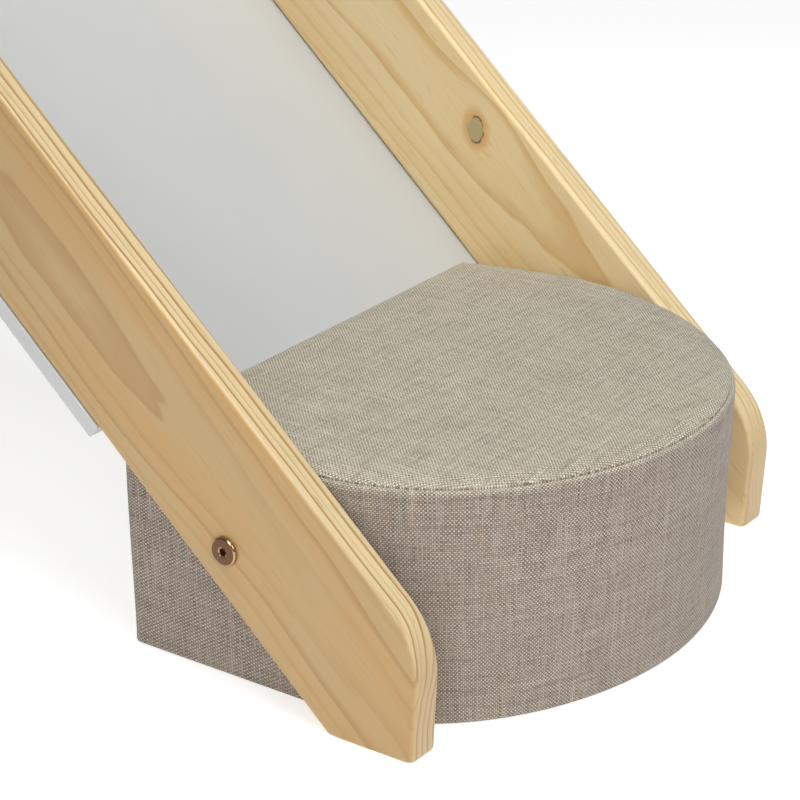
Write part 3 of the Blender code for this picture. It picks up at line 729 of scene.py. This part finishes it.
def swell(body):
    """Cloth under pressure, held at the seam and at the hem, as foam pushes a sewn cover out."""
    held = body.vertex_groups.new(name="held")
    for vertex in body.data.vertices:
        x, y, z = vertex.co
        rim = abs(x) > HALF_BLOCK - CLOTH_MESH or y > BLOCK_BACK - CLOTH_MESH
        rim = rim or is_outside(x, y, 0.007)
        if z < 0.008 or (z > BLOCK_HEIGHT - CLOTH_MESH and rim):
            held.add([vertex.index], 1.0, "REPLACE")
    cloth = body.modifiers.new("swell", "CLOTH")
    for setting, value in CLOTH_SETTINGS.items():
        setattr(cloth.settings, setting, value)
    cloth.settings.effector_weights.gravity = 0.0
    cloth.point_cache.frame_start = 1
    cloth.point_cache.frame_end = CLOTH_STEPS
    scene = bpy.context.scene
    for step in range(1, CLOTH_STEPS + 1):
        scene.frame_set(step)
    graph = bpy.context.evaluated_depsgraph_get()
    swollen = body.evaluated_get(graph)
    tree = BVHTree.FromObject(swollen, graph)
    body.modifiers.clear()
    scene.frame_set(1)
    return tree


def is_outside(x, y, inset):
    """Whether a place on the block's top is nearer than inset to its curved edge."""
    start, roundness = curve_of(BLOCK_HEIGHT, x)
    across = abs(x) / (HALF_BLOCK - inset)
    if y > start:
        return across > 1.0
    along = (start - y) / (start - BLOCK_FRONT_TOP - inset)
    return across ** roundness + along ** roundness > 1.0


def swelling(grid, normals, tree, wall_rows):
    """How far the cloth pass pushes each point of the cover out, evened and capped."""
    reach = 0.03
    rise = np.zeros(grid.shape[:2])
    for place in np.ndindex(rise.shape):
        normal = Vector(normals[place])
        start = Vector(grid[place]) + normal * reach
        distance = tree.ray_cast(start, -normal, 2 * reach)[3]
        if distance is not None:
            rise[place] = reach - distance
    cap = np.full(grid.shape[0], WALL_SWELL)
    cap[wall_rows:] = TOP_SWELL
    rise = np.clip(rise, 0.0, cap[:, None])
    for _ in range(EVENING_PASSES):
        rise = (rise + np.roll(rise, 1, axis=1) + np.roll(rise, -1, axis=1)) / 3
        padded = np.vstack([rise[:1], rise, rise[-1:]])
        rise = (padded[:-2] + padded[1:-1] + padded[2:]) / 3
    return rise


def held_share(grid, wall_rows):
    """0 at the seam and the hem, where the cover is held, to 1 away from them."""
    heights = grid[:wall_rows, :, 2]
    below = share_of(grid[wall_rows - EDGE_ROWS, :, 2] - heights, 0.0, SEAM_FADE)
    above = share_of(heights - HEM_HEIGHT, 0.0, SEAM_FADE)
    edge = grid[wall_rows - 1]
    away = np.linalg.norm(grid[wall_rows:, :, :2] - edge[None, :, :2], axis=2)
    share = np.vstack([np.minimum(below, above), share_of(away, 0.0, SEAM_FADE)])
    share[:len(HEM_ROWS)] = 0.0
    return eased(share)


def puckers(outline, grid, wall_rows):
    """Small uneven folds that run away from the seam, and a faint slackness of the wall."""
    arc = np.array(outline.arc)
    turn = 2 * math.pi * arc / outline.length
    draw = np.random.default_rng(7)
    waves = np.zeros(len(arc))
    for cycles in (17, 29, 43, 61):
        waves += np.sin(cycles * turn + draw.uniform(0, 2 * math.pi)) * draw.uniform(0.4, 1.0)
    slow = np.zeros(len(arc))
    for cycles in (2, 3, 5, 7):
        slow += np.sin(cycles * turn + draw.uniform(0, 2 * math.pi))
    waves *= np.clip(0.6 + 0.25 * slow, 0.1, 1.4)
    edge = grid[wall_rows - 1]
    below = np.abs(edge[None, :, 2] - grid[:wall_rows, :, 2])
    inside = np.linalg.norm(grid[wall_rows:, :, :2] - edge[None, :, :2], axis=2)
    distance = np.vstack([below, inside])
    folds = waves[None, :] * FOLD_HEIGHT * np.exp(-distance / FOLD_REACH)
    level = grid[:wall_rows, :, 2] / BLOCK_HEIGHT
    slack = np.sin(3 * turn[None, :] + 7 * level) + np.sin(7 * turn[None, :] - 5 * level)
    folds[:wall_rows] += SLACK_HEIGHT * slack
    folds[:len(HEM_ROWS)] = 0.0
    return folds


def make_foam_pad(rows, finish):
    """The pad under the cover's top, following its crown."""
    bottom = rows[0].copy()
    bottom[:, 2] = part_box("block_foam_pad")[0].z
    pad = closed_object("block_foam_pad_cut", (bottom, *rows), finish, smooth_angle=50)
    stand_for(pad, "block_foam_pad")


def make_cover(finish, foam_finish):
    """The sewn cover, swollen by its cloth pass, and the foam pad that fits under it."""
    outline = BlockOutline(COVER_PLACES)
    grid, wall_rows, seam_row = cover_grid(outline)
    normals = grid_normals(grid)
    rise = np.zeros(grid.shape[:2])
    body = padded_body(outline)
    rise = swelling(grid, normals, swell(body), wall_rows)
    bpy.data.objects.remove(body)
    rise *= held_share(grid, wall_rows)
    rise += puckers(outline, grid, wall_rows)
    shaped = grid + normals * rise[:, :, None]
    shaped[:, :, 0] = np.clip(shaped[:, :, 0], -HALF_BLOCK, HALF_BLOCK)
    shaped[:, :, 1] = np.clip(shaped[:, :, 1], None, BLOCK_BACK)
    shaped[:, :, 2] = np.clip(shaped[:, :, 2], COVER_LOWEST, None)
    edge = wall_rows - EDGE_ROWS - 2
    make_foam_pad(shaped[edge:] - normals[edge:] * LINING_DEPTH, foam_finish)
    item = cover_object(shaped, outline, seam_row, finish)
    stand_for(item, "block_cover")
    smooth = item.modifiers.new("fine_surface", "SUBSURF")
    smooth.levels = 1
    smooth.render_levels = 1
    smooth.use_limit_surface = False


def cover_object(shaped, outline, seam_row, finish):
    """The sewn cover. Its fabric is laid by length round the wall and flat over the top."""
    bm = bmesh.new()
    layer = bm.loops.layers.uv.new("weave")
    rows = [[bm.verts.new(point) for point in row] for row in shaped]
    count = len(rows[0])
    steps = np.linalg.norm(np.diff(shaped, axis=0), axis=2).mean(axis=1)
    climbed = np.concatenate([[0.0], np.cumsum(steps)])
    for row in range(len(rows) - 1):
        for step in range(count):
            after = (step + 1) % count
            corners = ((row, step, False), (row, after, after == 0),
                       (row + 1, after, after == 0), (row + 1, step, False))
            face = bm.faces.new([rows[r][s] for r, s, _ in corners])
            for loop, (r, s, wraps) in zip(face.loops, corners):
                if row < seam_row:
                    loop[layer].uv = (outline.length if wraps else outline.arc[s], climbed[r])
                else:
                    loop[layer].uv = shaped[r][s][:2]
    middle = bm.verts.new(shaped[-1].mean(axis=0))
    for step in range(count):
        face = bm.faces.new((rows[-1][step], rows[-1][(step + 1) % count], middle))
        for loop in face.loops:
            loop[layer].uv = loop.vert.co.xy
    return object_from("block_cover_sewn", bm, finish, smooth_angle=75)


# Fabric

THREAD_PITCH = 0.00112
THREAD_WAVER = 0.9
WARP_TONE = 0.085
WEFT_TONE = 0.275
YARN_STOPS = ((0.18, (0.120, 0.090, 0.069)), (0.38, (0.304, 0.251, 0.202)),
              (0.56, (0.510, 0.440, 0.370)), (0.74, (0.607, 0.541, 0.471)))

# Painted light: faces that look up have their yarn colour raised by these factors, as if the top
# got more light than the wall
UPWARD_PAINTED_LIGHT = (1.33, 1.44, 1.37)


def linen():
    """Plain-woven fabric: pale weft over darker warp, with a few thicker yarns both ways, painted
    shade between the threads and painted light on the faces that look up.
    """
    made = Finish("linen", Roughness=0.92, Sheen_Weight=0.18, Sheen_Roughness=0.45,
                  Specular_IOR_Level=0.12)
    uv = made.make("UVMap", uv_map="weave").outputs[0]
    u, v, _ = made.split(uv)
    across = made.over(u, THREAD_PITCH)
    across = made.times_plus(made.noise(uv, 60.0, 2.0), THREAD_WAVER, across)
    upward = made.over(v, THREAD_PITCH)
    upward = made.times_plus(made.noise(uv, 75.0, 2.0), THREAD_WAVER, upward)
    column = made.floor(across)
    row = made.floor(upward)
    weft_over = made.calc("FLOORED_MODULO", made.plus(column, row), 2.0)
    height = thread_height(made, across, upward, weft_over)
    tone = yarn_tone(made, uv, column, row, weft_over)
    colour = made.ramp(tone, YARN_STOPS, "LINEAR")
    # Painted shade and light of the weave's relief: the yarn colour drops to 0.42 where the threads
    # dip and rises to 1.06 on their crowns.
    colour = made.toned(colour, made.step(height, 0.05, 0.80, 0.42, 1.06))
    # Painted light: the colour is lightened on faces that look up.
    upright = made.split(made.normal())[2]
    colour = made.mix(made.step(upright, 0.15, 0.65), colour,
                      made.mix(1.0, colour, UPWARD_PAINTED_LIGHT, "MULTIPLY"))
    return made.skin(colour, made.times_plus(tone, 0.5, height), 0.00030, 0.50)


def thread_height(made, across, upward, weft_over):
    """Height of the round thread on top, which is the warp or the weft in turn."""
    column = made.sine(made.times(made.fraction(across), math.pi))
    row = made.sine(made.times(made.fraction(upward), math.pi))
    warp = made.times(made.power(column, 0.7), made.times_plus(row, 0.55, 0.25))
    weft = made.times(made.power(row, 0.7), made.times_plus(column, 0.50, 0.50))
    return choose(made, weft_over, warp, weft)


def yarn_tone(made, uv, column, row, weft_over):
    """Tone of the yarn on top, with its slubs, a speckle and a slow clouding."""
    u, v, _ = made.split(uv)
    warp = made.vector(made.times(column, 3.7), made.times(v, 30.0), 3.0)
    weft = made.vector(made.times(u, 30.0), made.times(row, 3.7), 9.0)
    warp = made.times_plus(made.noise(warp, 1.0, 2.0, 0.6), 0.55, slub(made, column, v, 1.0))
    weft = made.times_plus(made.noise(weft, 1.0, 2.0, 0.6), 0.55, slub(made, row, u, 2.0))
    tone = choose(made, weft_over, made.plus(warp, WARP_TONE), made.plus(weft, WEFT_TONE))
    speck = made.chance(made.vector(column, row, 0.0))
    tone = made.times_plus(made.minus(speck, 0.5), 0.10, tone)
    cloud = made.noise(uv, 16.0, 2.0)
    return made.times_plus(made.minus(cloud, 0.5), 0.05, tone)


def slub(made, thread, along, seed):
    """Lighter and darker lengths on the few yarns that were spun unevenly."""
    uneven = made.step(made.chance(made.vector(thread, seed, 0.0)), 0.86, 0.92)
    length = made.noise(made.vector(made.times(along, 22.0), thread, seed), 1.0, 1.0)
    return made.times(made.times_plus(length, 0.65, -0.28), uneven)


def choose(made, pick, first, second):
    """first where pick is 0, second where it is 1."""
    return made.times_plus(made.minus(second, first), pick, first)


# Other finishes

def white_board():
    made = Finish("white_board", Roughness=0.36, Coat_Weight=0.10, Coat_Roughness=0.25)
    where = made.place()
    cloud = made.noise(where, 7.0, 3.0)
    colour = made.mix(made.step(cloud, 0.35, 0.65), (0.542, 0.555, 0.550), (0.560, 0.573, 0.568))
    roughness = made.step(made.noise(where, 40.0, 3.0), 0.3, 0.7, 0.32, 0.42)
    return made.skin(colour, made.noise(where, 700.0, 2.0), 0.00002, 0.35, roughness)


def zinc_plate():
    """Plated steel with a fine turned texture and slightly worn tone."""
    made = Finish("zinc", Metallic=1.0)
    where = made.place()
    wear = made.noise(where, 240.0, 4.0, 0.6)
    colour = made.mix(made.step(wear, 0.35, 0.70), (0.620, 0.620, 0.610), (0.430, 0.430, 0.420))
    return made.skin(colour, made.noise(where, 900.0, 3.0), 0.00002, 0.25,
                     made.step(wear, 0.3, 0.7, 0.30, 0.42))


def bronze_plate():
    """Yellow-passivated steel, coloured by facing: the flat head painted dark as a painted
    reflection of dim surroundings, the bevel painted bright as a painted highlight.
    """
    made = Finish("bronze", Metallic=1.0)
    where = made.place()
    flat = made.step(made.absolute(made.split(made.normal())[0]), 0.90, 0.98)
    wear = made.noise(where, 500.0, 4.0, 0.6)
    # Painted highlight on the bevel and painted dark reflection on the flat face, chosen by the way
    # each faces.
    bevel_highlight = made.mix(wear, (0.620, 0.450, 0.250), (0.330, 0.205, 0.115))
    flat_dark_reflection = made.mix(wear, (0.180, 0.100, 0.055), (0.120, 0.064, 0.038))
    return made.skin(made.mix(flat, bevel_highlight, flat_dark_reflection), made.noise(where, 1500.0, 3.0), 0.00002, 0.25,
                     made.step(flat, 0.0, 1.0, 0.16, 0.34))


def powder_coat():
    made = Finish("powder_coat", Roughness=0.45)
    where = made.place()
    cloud = made.noise(where, 30.0, 3.0)
    colour = made.mix(cloud, (0.640, 0.640, 0.620), (0.700, 0.700, 0.685))
    return made.skin(colour, made.noise(where, 1400.0, 2.0), 0.00004, 0.5)


PLY_THICKNESS = 0.0028


def plywood(name, axis):
    """Birch plywood: thin crossed plies through the thickness axis, fine grain on the faces."""
    made = Finish(name, Roughness=0.62)
    where = made.place()
    ply = made.fraction(made.over(made.dot(where, axis), PLY_THICKNESS))
    band = made.step(made.absolute(made.minus(ply, 0.5)), 0.20, 0.30)
    colour = made.mix(band, (0.560, 0.400, 0.240), (0.430, 0.280, 0.150))
    grain = made.noise(where, 120.0, 4.0, 0.7)
    colour = made.toned(colour, made.step(grain, 0.25, 0.75, 0.86, 1.06))
    return made.skin(colour, grain, 0.0001, 0.3)


def hardboard():
    made = Finish("hardboard", Roughness=0.68)
    where = made.place()
    fleck = made.noise(where, 600.0, 5.0, 0.75)
    colour = made.mix(fleck, (0.180, 0.100, 0.048), (0.330, 0.205, 0.110))
    return made.skin(colour, fleck, 0.0001, 0.4)


def foam():
    made = Finish("foam", Roughness=0.95)
    where = made.place()
    cells = made.make("TexVoronoi", {"Vector": where, "Scale": 900.0}).outputs[0]
    colour = made.mix(made.step(cells, 0.1, 0.6), (0.620, 0.540, 0.340), (0.800, 0.740, 0.540))
    return made.skin(colour, cells, 0.0004, 0.6)


# The dust cloth's pressed dots, in radians per metre
DOTS = 2600.0


def dust_cloth():
    """Black non-woven cloth with its pressed dot pattern."""
    made = Finish("dust_cloth", Roughness=0.92, Sheen_Weight=0.2)
    where = made.place()
    x, y, _ = made.split(where)
    dots = made.times(made.sine(made.times(x, DOTS)), made.sine(made.times(y, DOTS)))
    fibres = made.noise(where, 1500.0, 4.0, 0.7)
    colour = made.mix(fibres, (0.016, 0.016, 0.017), (0.050, 0.050, 0.052))
    return made.skin(colour, made.times_plus(dots, 0.5, fibres), 0.0002, 0.5)


# Fasteners

def hexagon(turn, apothem):
    """Radius of a six-sided socket at a turn about its axis."""
    within = (turn % (math.pi / 3)) - math.pi / 6
    return apothem / math.cos(within)


def cross(turn, half_width, reach):
    """Radius of a cross-shaped recess at a turn about its axis."""
    within = (turn + math.pi / 4) % (math.pi / 2) - math.pi / 4
    if abs(math.tan(within)) * reach < half_width:
        return reach / math.cos(within)
    return half_width / abs(math.sin(within))


def turned_piece(name, node, seat, axis, rows, finish, sides):
    """A fastener turned about its axis from (radius, depth) rows, closed at both ends.

    seat is the centre of the face under the head and axis points into the timber. A row's
    radius may be a function of the turn.
    """
    turn = axis.to_track_quat("Z", "Y").to_matrix()
    rings = []
    for radius, depth in rows:
        ring = []
        for step in range(sides):
            angle = 2 * math.pi * step / sides
            r = radius(angle) if callable(radius) else radius
            local = Vector((r * math.cos(angle), r * math.sin(angle), depth))
            ring.append(seat + turn @ local)
        rings.append(ring)
    stand_for(closed_object(name, rings, finish, smooth_angle=22), node)


def make_bolt(node, seat, axis, length, finish):
    """A connector bolt: wide bevelled head with a hex socket, and a plain shank."""
    socket = partial(hexagon, apothem=BOLT_SOCKET)
    rows = [(BOLT_SHANK - 0.0006, length), (BOLT_SHANK, length - 0.0006), (BOLT_SHANK, 0.0),
            (BOLT_HEAD - 0.0002, 0.0), (BOLT_HEAD, -0.0002), (BOLT_HEAD, -0.0013),
            (BOLT_HEAD - 0.0001, -0.0016), (0.0080, -0.0021), (0.0077, -0.0023),
            (0.0074, -0.00238), (0.0031, -0.00238), (0.0029, -0.0022),
            (socket, -0.0020), (socket, 0.0002)]
    turned_piece(node + "_plated", node, seat, axis, rows, finish, sides=72)


def make_screw(node, seat, axis, length, finish):
    """A countersunk screw with a cross recess in its flat head."""
    recess = partial(cross, half_width=0.0005, reach=0.0022)
    recess_floor = partial(cross, half_width=0.0003, reach=0.0010)
    rows = [(0.0002, length), (SCREW_SHANK - 0.0001, length - SCREW_POINT),
            (SCREW_SHANK, SCREW_CONE), (SCREW_HEAD - 0.0002, 0.0003), (SCREW_HEAD, 0.0001),
            (SCREW_HEAD - 0.0001, 0.0), (0.0026, 0.0), (recess, 0.0001), (recess_floor, 0.0016)]
    turned_piece(node + "_recessed", node, seat, axis, rows, finish, sides=48)


# Build

def timber_finishes():
    """One tree's grain field for each timber, measured from a corner of it."""
    left_corner = HEEL - ACROSS * HALF_WIDTH
    right_corner = HEEL + ACROSS * HALF_CHANNEL
    finishes = {
        "left": pine("pine_left_rail", DEEP_PINE, left_corner, RAIL_AXES,
                     heart=(0.078, 0.040), drift=(-0.012, 0.010), seed=3.0),
        "right": pine("pine_right_rail", PALE_PINE, right_corner, RAIL_AXES,
                      heart=(0.085, 0.060), drift=(-0.015, -0.020), seed=11.0, knot=KNOT),
    }
    for node, name, heart, drift, seed in (
            ("threshold_rail", "pine_threshold", (0.070, 0.030), (0.010, 0.012), 23.0),
            ("lower_batten", "pine_lower_batten", (0.060, 0.015), (0.015, -0.010), 31.0),
            ("upper_batten", "pine_upper_batten", (0.080, 0.015), (0.015, -0.010), 39.0)):
        finishes[node] = pine(name, PALE_PINE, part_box(node)[0], CROSS_AXES, heart, drift, seed)
    return finishes


def along_x(point, depth):
    """The world place of an outline's (y, z) point at a depth across the slide."""
    return depth, point.x, point.y


def make_rails(finishes):
    outline, radii = rail_outline()
    for side, sign in SIDES:
        depths = sorted((sign * HALF_CHANNEL, sign * HALF_WIDTH))
        rounded_plate(side + "_rail_planed", side + "_rail", outline, radii, depths,
                      along_x, finishes[side])


def make_deck(finish):
    """The board under both rails. Its end runs on in the channel, past its two outer strips."""
    deck_low, deck_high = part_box("slide_deck")
    top_end = (deck_high.y - HEEL.y + DECK_UNDERSIDE * math.sin(SLOPE)) / math.cos(SLOPE)
    strip_end = (deck_low.y - HEEL.y) / math.cos(SLOPE)
    inner = HALF_CHANNEL + RAIL_ARRIS
    half = ((inner, DECK_END), (inner, strip_end), (HALF_WIDTH, strip_end), (HALF_WIDTH, top_end))
    outline = [(-x, along) for x, along in reversed(half)] + list(half)
    rounded_plate("slide_deck_lacquered", "slide_deck", outline, DECK_ROUND,
                  (DECK_UNDERSIDE, -GAP),
                  lambda point, depth: slope_point(point.y, depth, point.x), finish)


def make_block_bolts(finish):
    for side, sign in SIDES:
        low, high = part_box(side + "_block_bolt")
        seat = Vector((sign * (HALF_WIDTH + GAP), (low.y + high.y) / 2, (low.z + high.z) / 2))
        length = high.x - low.x - BOLT_HEAD_HEIGHT
        make_bolt(side + "_block_bolt", seat, Vector((-sign, 0.0, 0.0)), length, finish)


def slope_centre(node):
    """The middle of a node's box in slope coordinates: along and x."""
    low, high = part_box(node)
    middle = (low + high) / 2
    return (middle - HEEL) @ UP_SLOPE, middle.x


def make_slope_fasteners(finishes):
    """Screws and bolts driven square to the slope from below, and the hooks' screws."""
    batten_face = DECK_UNDERSIDE - GAP - BATTEN_THICKNESS
    kinds = [(f"deck_screw_{number}", DECK_UNDERSIDE, DECK_SCREW_LENGTH) for number in (1, 2, 3, 4)]
    kinds += [(name, batten_face, BATTEN_SCREW_LENGTH)
              for name in ("lower_batten_screw", "upper_batten_screw")]
    for side, _ in SIDES:
        for kind, face, length in kinds:
            node = f"{side}_{kind}"
            along, x = slope_centre(node)
            make_screw(node, slope_point(along, face, x), OFF_SLOPE, length, finishes["zinc"])
        node = side + "_threshold_bolt"
        along, x = slope_centre(node)
        seat = slope_point(along, -GAP - THRESHOLD_THICKNESS - GAP, x)
        make_bolt(node, seat, OFF_SLOPE, THRESHOLD_BOLT_LENGTH, finishes["bronze"])
        for number in (1, 2):
            node = f"{side}_hook_screw_{number}"
            low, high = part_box(node)
            seat = Vector(((low.x + high.x) / 2, high.y, (low.z + high.z) / 2))
            make_screw(node, seat, Vector((0.0, -1.0, 0.0)), HOOK_SCREW_LENGTH, finishes["zinc"])


def cross_timber(node, outline, finish):
    """A timber that lies across the slide, from its (along, off) outline."""
    low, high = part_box(node)
    outline = rounded_corners(outline, TIMBER_ARRIS)
    rounded_plate(node + "_planed", node, outline, TIMBER_ARRIS, (low.x, high.x),
                  lambda point, depth: slope_point(point.x, point.y, depth), finish)


def make_cross_timbers(finishes):
    top = DECK_UNDERSIDE - GAP
    low = top - BATTEN_THICKNESS
    for name in ("lower_batten", "upper_batten"):
        along, _ = slope_centre(name)
        start, end = along - BATTEN_WIDTH / 2, along + BATTEN_WIDTH / 2
        outline = [(start, low), (end, low), (end, top), (start, top)]
        cross_timber(name, outline, finishes[name])
    run = TOP_END_Z / math.sin(SLOPE)
    low, high = -GAP - THRESHOLD_THICKNESS, -GAP
    start = run - THRESHOLD_WIDTH
    outline = [(start, low), (run + low * math.tan(SLOPE), low),
               (run + high * math.tan(SLOPE), high), (start, high)]
    cross_timber("threshold_rail", outline, finishes["threshold_rail"])


def make_hooks(finish):
    """Flat steel bar with smooth bends: a leg, a bridge and a lip."""
    outer = HOOK_BEND + HOOK_STEEL
    for side, _ in SIDES:
        low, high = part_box(side + "_hook")
        near, far, leg_end, top = low.y, high.y, low.z, high.z
        lip_end = top - HOOK_LIP
        near_in, far_in, under = near + HOOK_STEEL, far - HOOK_STEEL, top - HOOK_STEEL
        outline = [
            (near, leg_end),
            *fillet((near, leg_end), (near, top), (far, top), outer, 10),
            *fillet((near, top), (far, top), (far, lip_end), outer, 10),
            (far, lip_end),
            (far_in, lip_end),
            *fillet((far_in, lip_end), (far_in, under), (near_in, under), HOOK_BEND, 8),
            *fillet((far_in, under), (near_in, under), (near_in, leg_end), HOOK_BEND, 8),
            (near_in, leg_end),
        ]
        rounded_plate(side + "_hook_coated", side + "_hook", outline, HOOK_EDGE,
                      (low.x, high.x), along_x, finish, steps=3)


NODE_FINISHES = {
    "slide_deck": "white_board", "block_dust_cover": "dust_cloth",
    "block_front_wrap": "hardboard", "block_foam_pad": "foam", "block_foam_wrap": "foam",
    "block_base_panel": "ply_flat", "block_top_panel": "ply_flat",
    "block_back_panel": "ply_back", "block_left_cheek": "ply_side",
    "block_right_cheek": "ply_side", "block_centre_rib": "ply_side",
    "lower_batten": "lower_batten", "upper_batten": "upper_batten",
    "threshold_rail": "threshold_rail", "block_cover": "linen",
    "left_hook": "powder_coat", "right_hook": "powder_coat",
}


def finish_of(name):
    if name in NODE_FINISHES:
        return NODE_FINISHES[name]
    if name.endswith("rail"):
        return name.split("_")[0]
    if name.endswith("bolt"):
        return "bronze"
    if name.endswith("dowel"):
        return "lower_batten"
    return "zinc"


def paint_nodes(finishes):
    """Gives every CAD node that still shows its own procedural finish."""
    for name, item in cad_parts.items():
        item.data.materials.clear()
        item.data.materials.append(finishes[finish_of(name)])


def make_stage():
    """A nearly white floor that glows a little, as the photo's background is pure white."""
    mesh = bpy.data.meshes.new("floor")
    bm = bmesh.new()
    bmesh.ops.create_grid(bm, x_segments=1, y_segments=1, size=30.0)
    bm.to_mesh(mesh)
    bm.free()
    paint = Finish("floor_paint", Roughness=1.0, Specular_IOR_Level=0.0, Emission_Strength=0.60,
                   Base_Color=(0.68, 0.68, 0.68, 1.0), Emission_Color=(1.0, 1.0, 1.0, 1.0))
    mesh.materials.append(paint.material)
    placed("floor", mesh)


def area_light(name, place, target, size, power):
    lamp = bpy.data.lights.new(name, "AREA")
    lamp.shape = "DISK"
    lamp.size = size
    lamp.energy = power
    item = placed(name, lamp)
    item.location = place
    item.rotation_euler = (Vector(target) - Vector(place)).to_track_quat("-Z", "Y").to_euler()


LIGHTS = (
    ("top", (0.1, -0.6, 2.0), (0.0, -0.2, 0.1), 1.2, 12.5),
    ("high_front", (-0.6, -0.85, 1.8), (0.0, -0.2, 0.1), 1.0, 11.0),
    ("side", (-1.5, -0.75, 1.35), (0.0, -0.2, 0.1), 0.9, 9.5),
    ("front", (-0.55, -1.75, 1.05), (0.0, -0.2, 0.1), 0.9, 7.0),
    ("back", (1.1, 2.2, 1.5), (0.0, 0.1, 0.3), 1.2, 9.0),
)


def make_lights():
    """A dim white studio and five soft lamps: name, place, target, size and power."""
    world = bpy.data.worlds.new("studio")
    bpy.context.scene.world = world
    world.use_nodes = True
    backdrop = world.node_tree.nodes["Background"]
    backdrop.inputs["Color"].default_value = (1.0, 1.0, 1.0, 1.0)
    backdrop.inputs["Strength"].default_value = 0.15
    for light in LIGHTS:
        area_light(*light)


def make_camera():
    lens = bpy.data.cameras.new("camera")
    lens.lens = 125.18
    lens.sensor_width = 36.0
    camera = placed("camera", lens)
    turn = Matrix.Rotation(math.radians(-53.12), 4, "Z")
    tilt = Matrix.Rotation(math.radians(90.0 - 23.18), 4, "X")
    roll = Matrix.Rotation(math.radians(-1.08), 4, "Z")
    camera.matrix_world = Matrix.Translation((-1.2149, -1.1904, 0.7619)) @ turn @ tilt @ roll
    bpy.context.scene.camera = camera


def main():
    finishes = {
        **timber_finishes(),
        "white_board": white_board(),
        "linen": linen(),
        "bronze": bronze_plate(),
        "zinc": zinc_plate(),
        "powder_coat": powder_coat(),
        "ply_flat": plywood("ply_flat", Vector((0.0, 0.0, 1.0))),
        "ply_back": plywood("ply_back", Vector((0.0, 1.0, 0.0))),
        "ply_side": plywood("ply_side", ACROSS),
        "hardboard": hardboard(),
        "foam": foam(),
        "dust_cloth": dust_cloth(),
    }
    paint_nodes(finishes)
    make_rails(finishes)
    make_deck(finishes["white_board"])
    make_cover(finishes["linen"], finishes["foam"])
    make_block_bolts(finishes["bronze"])
    make_slope_fasteners(finishes)
    make_cross_timbers(finishes)
    make_hooks(finishes["powder_coat"])
    make_stage()
    make_lights()
    make_camera()
    bpy.context.scene.view_settings.view_transform = "Standard"


main()
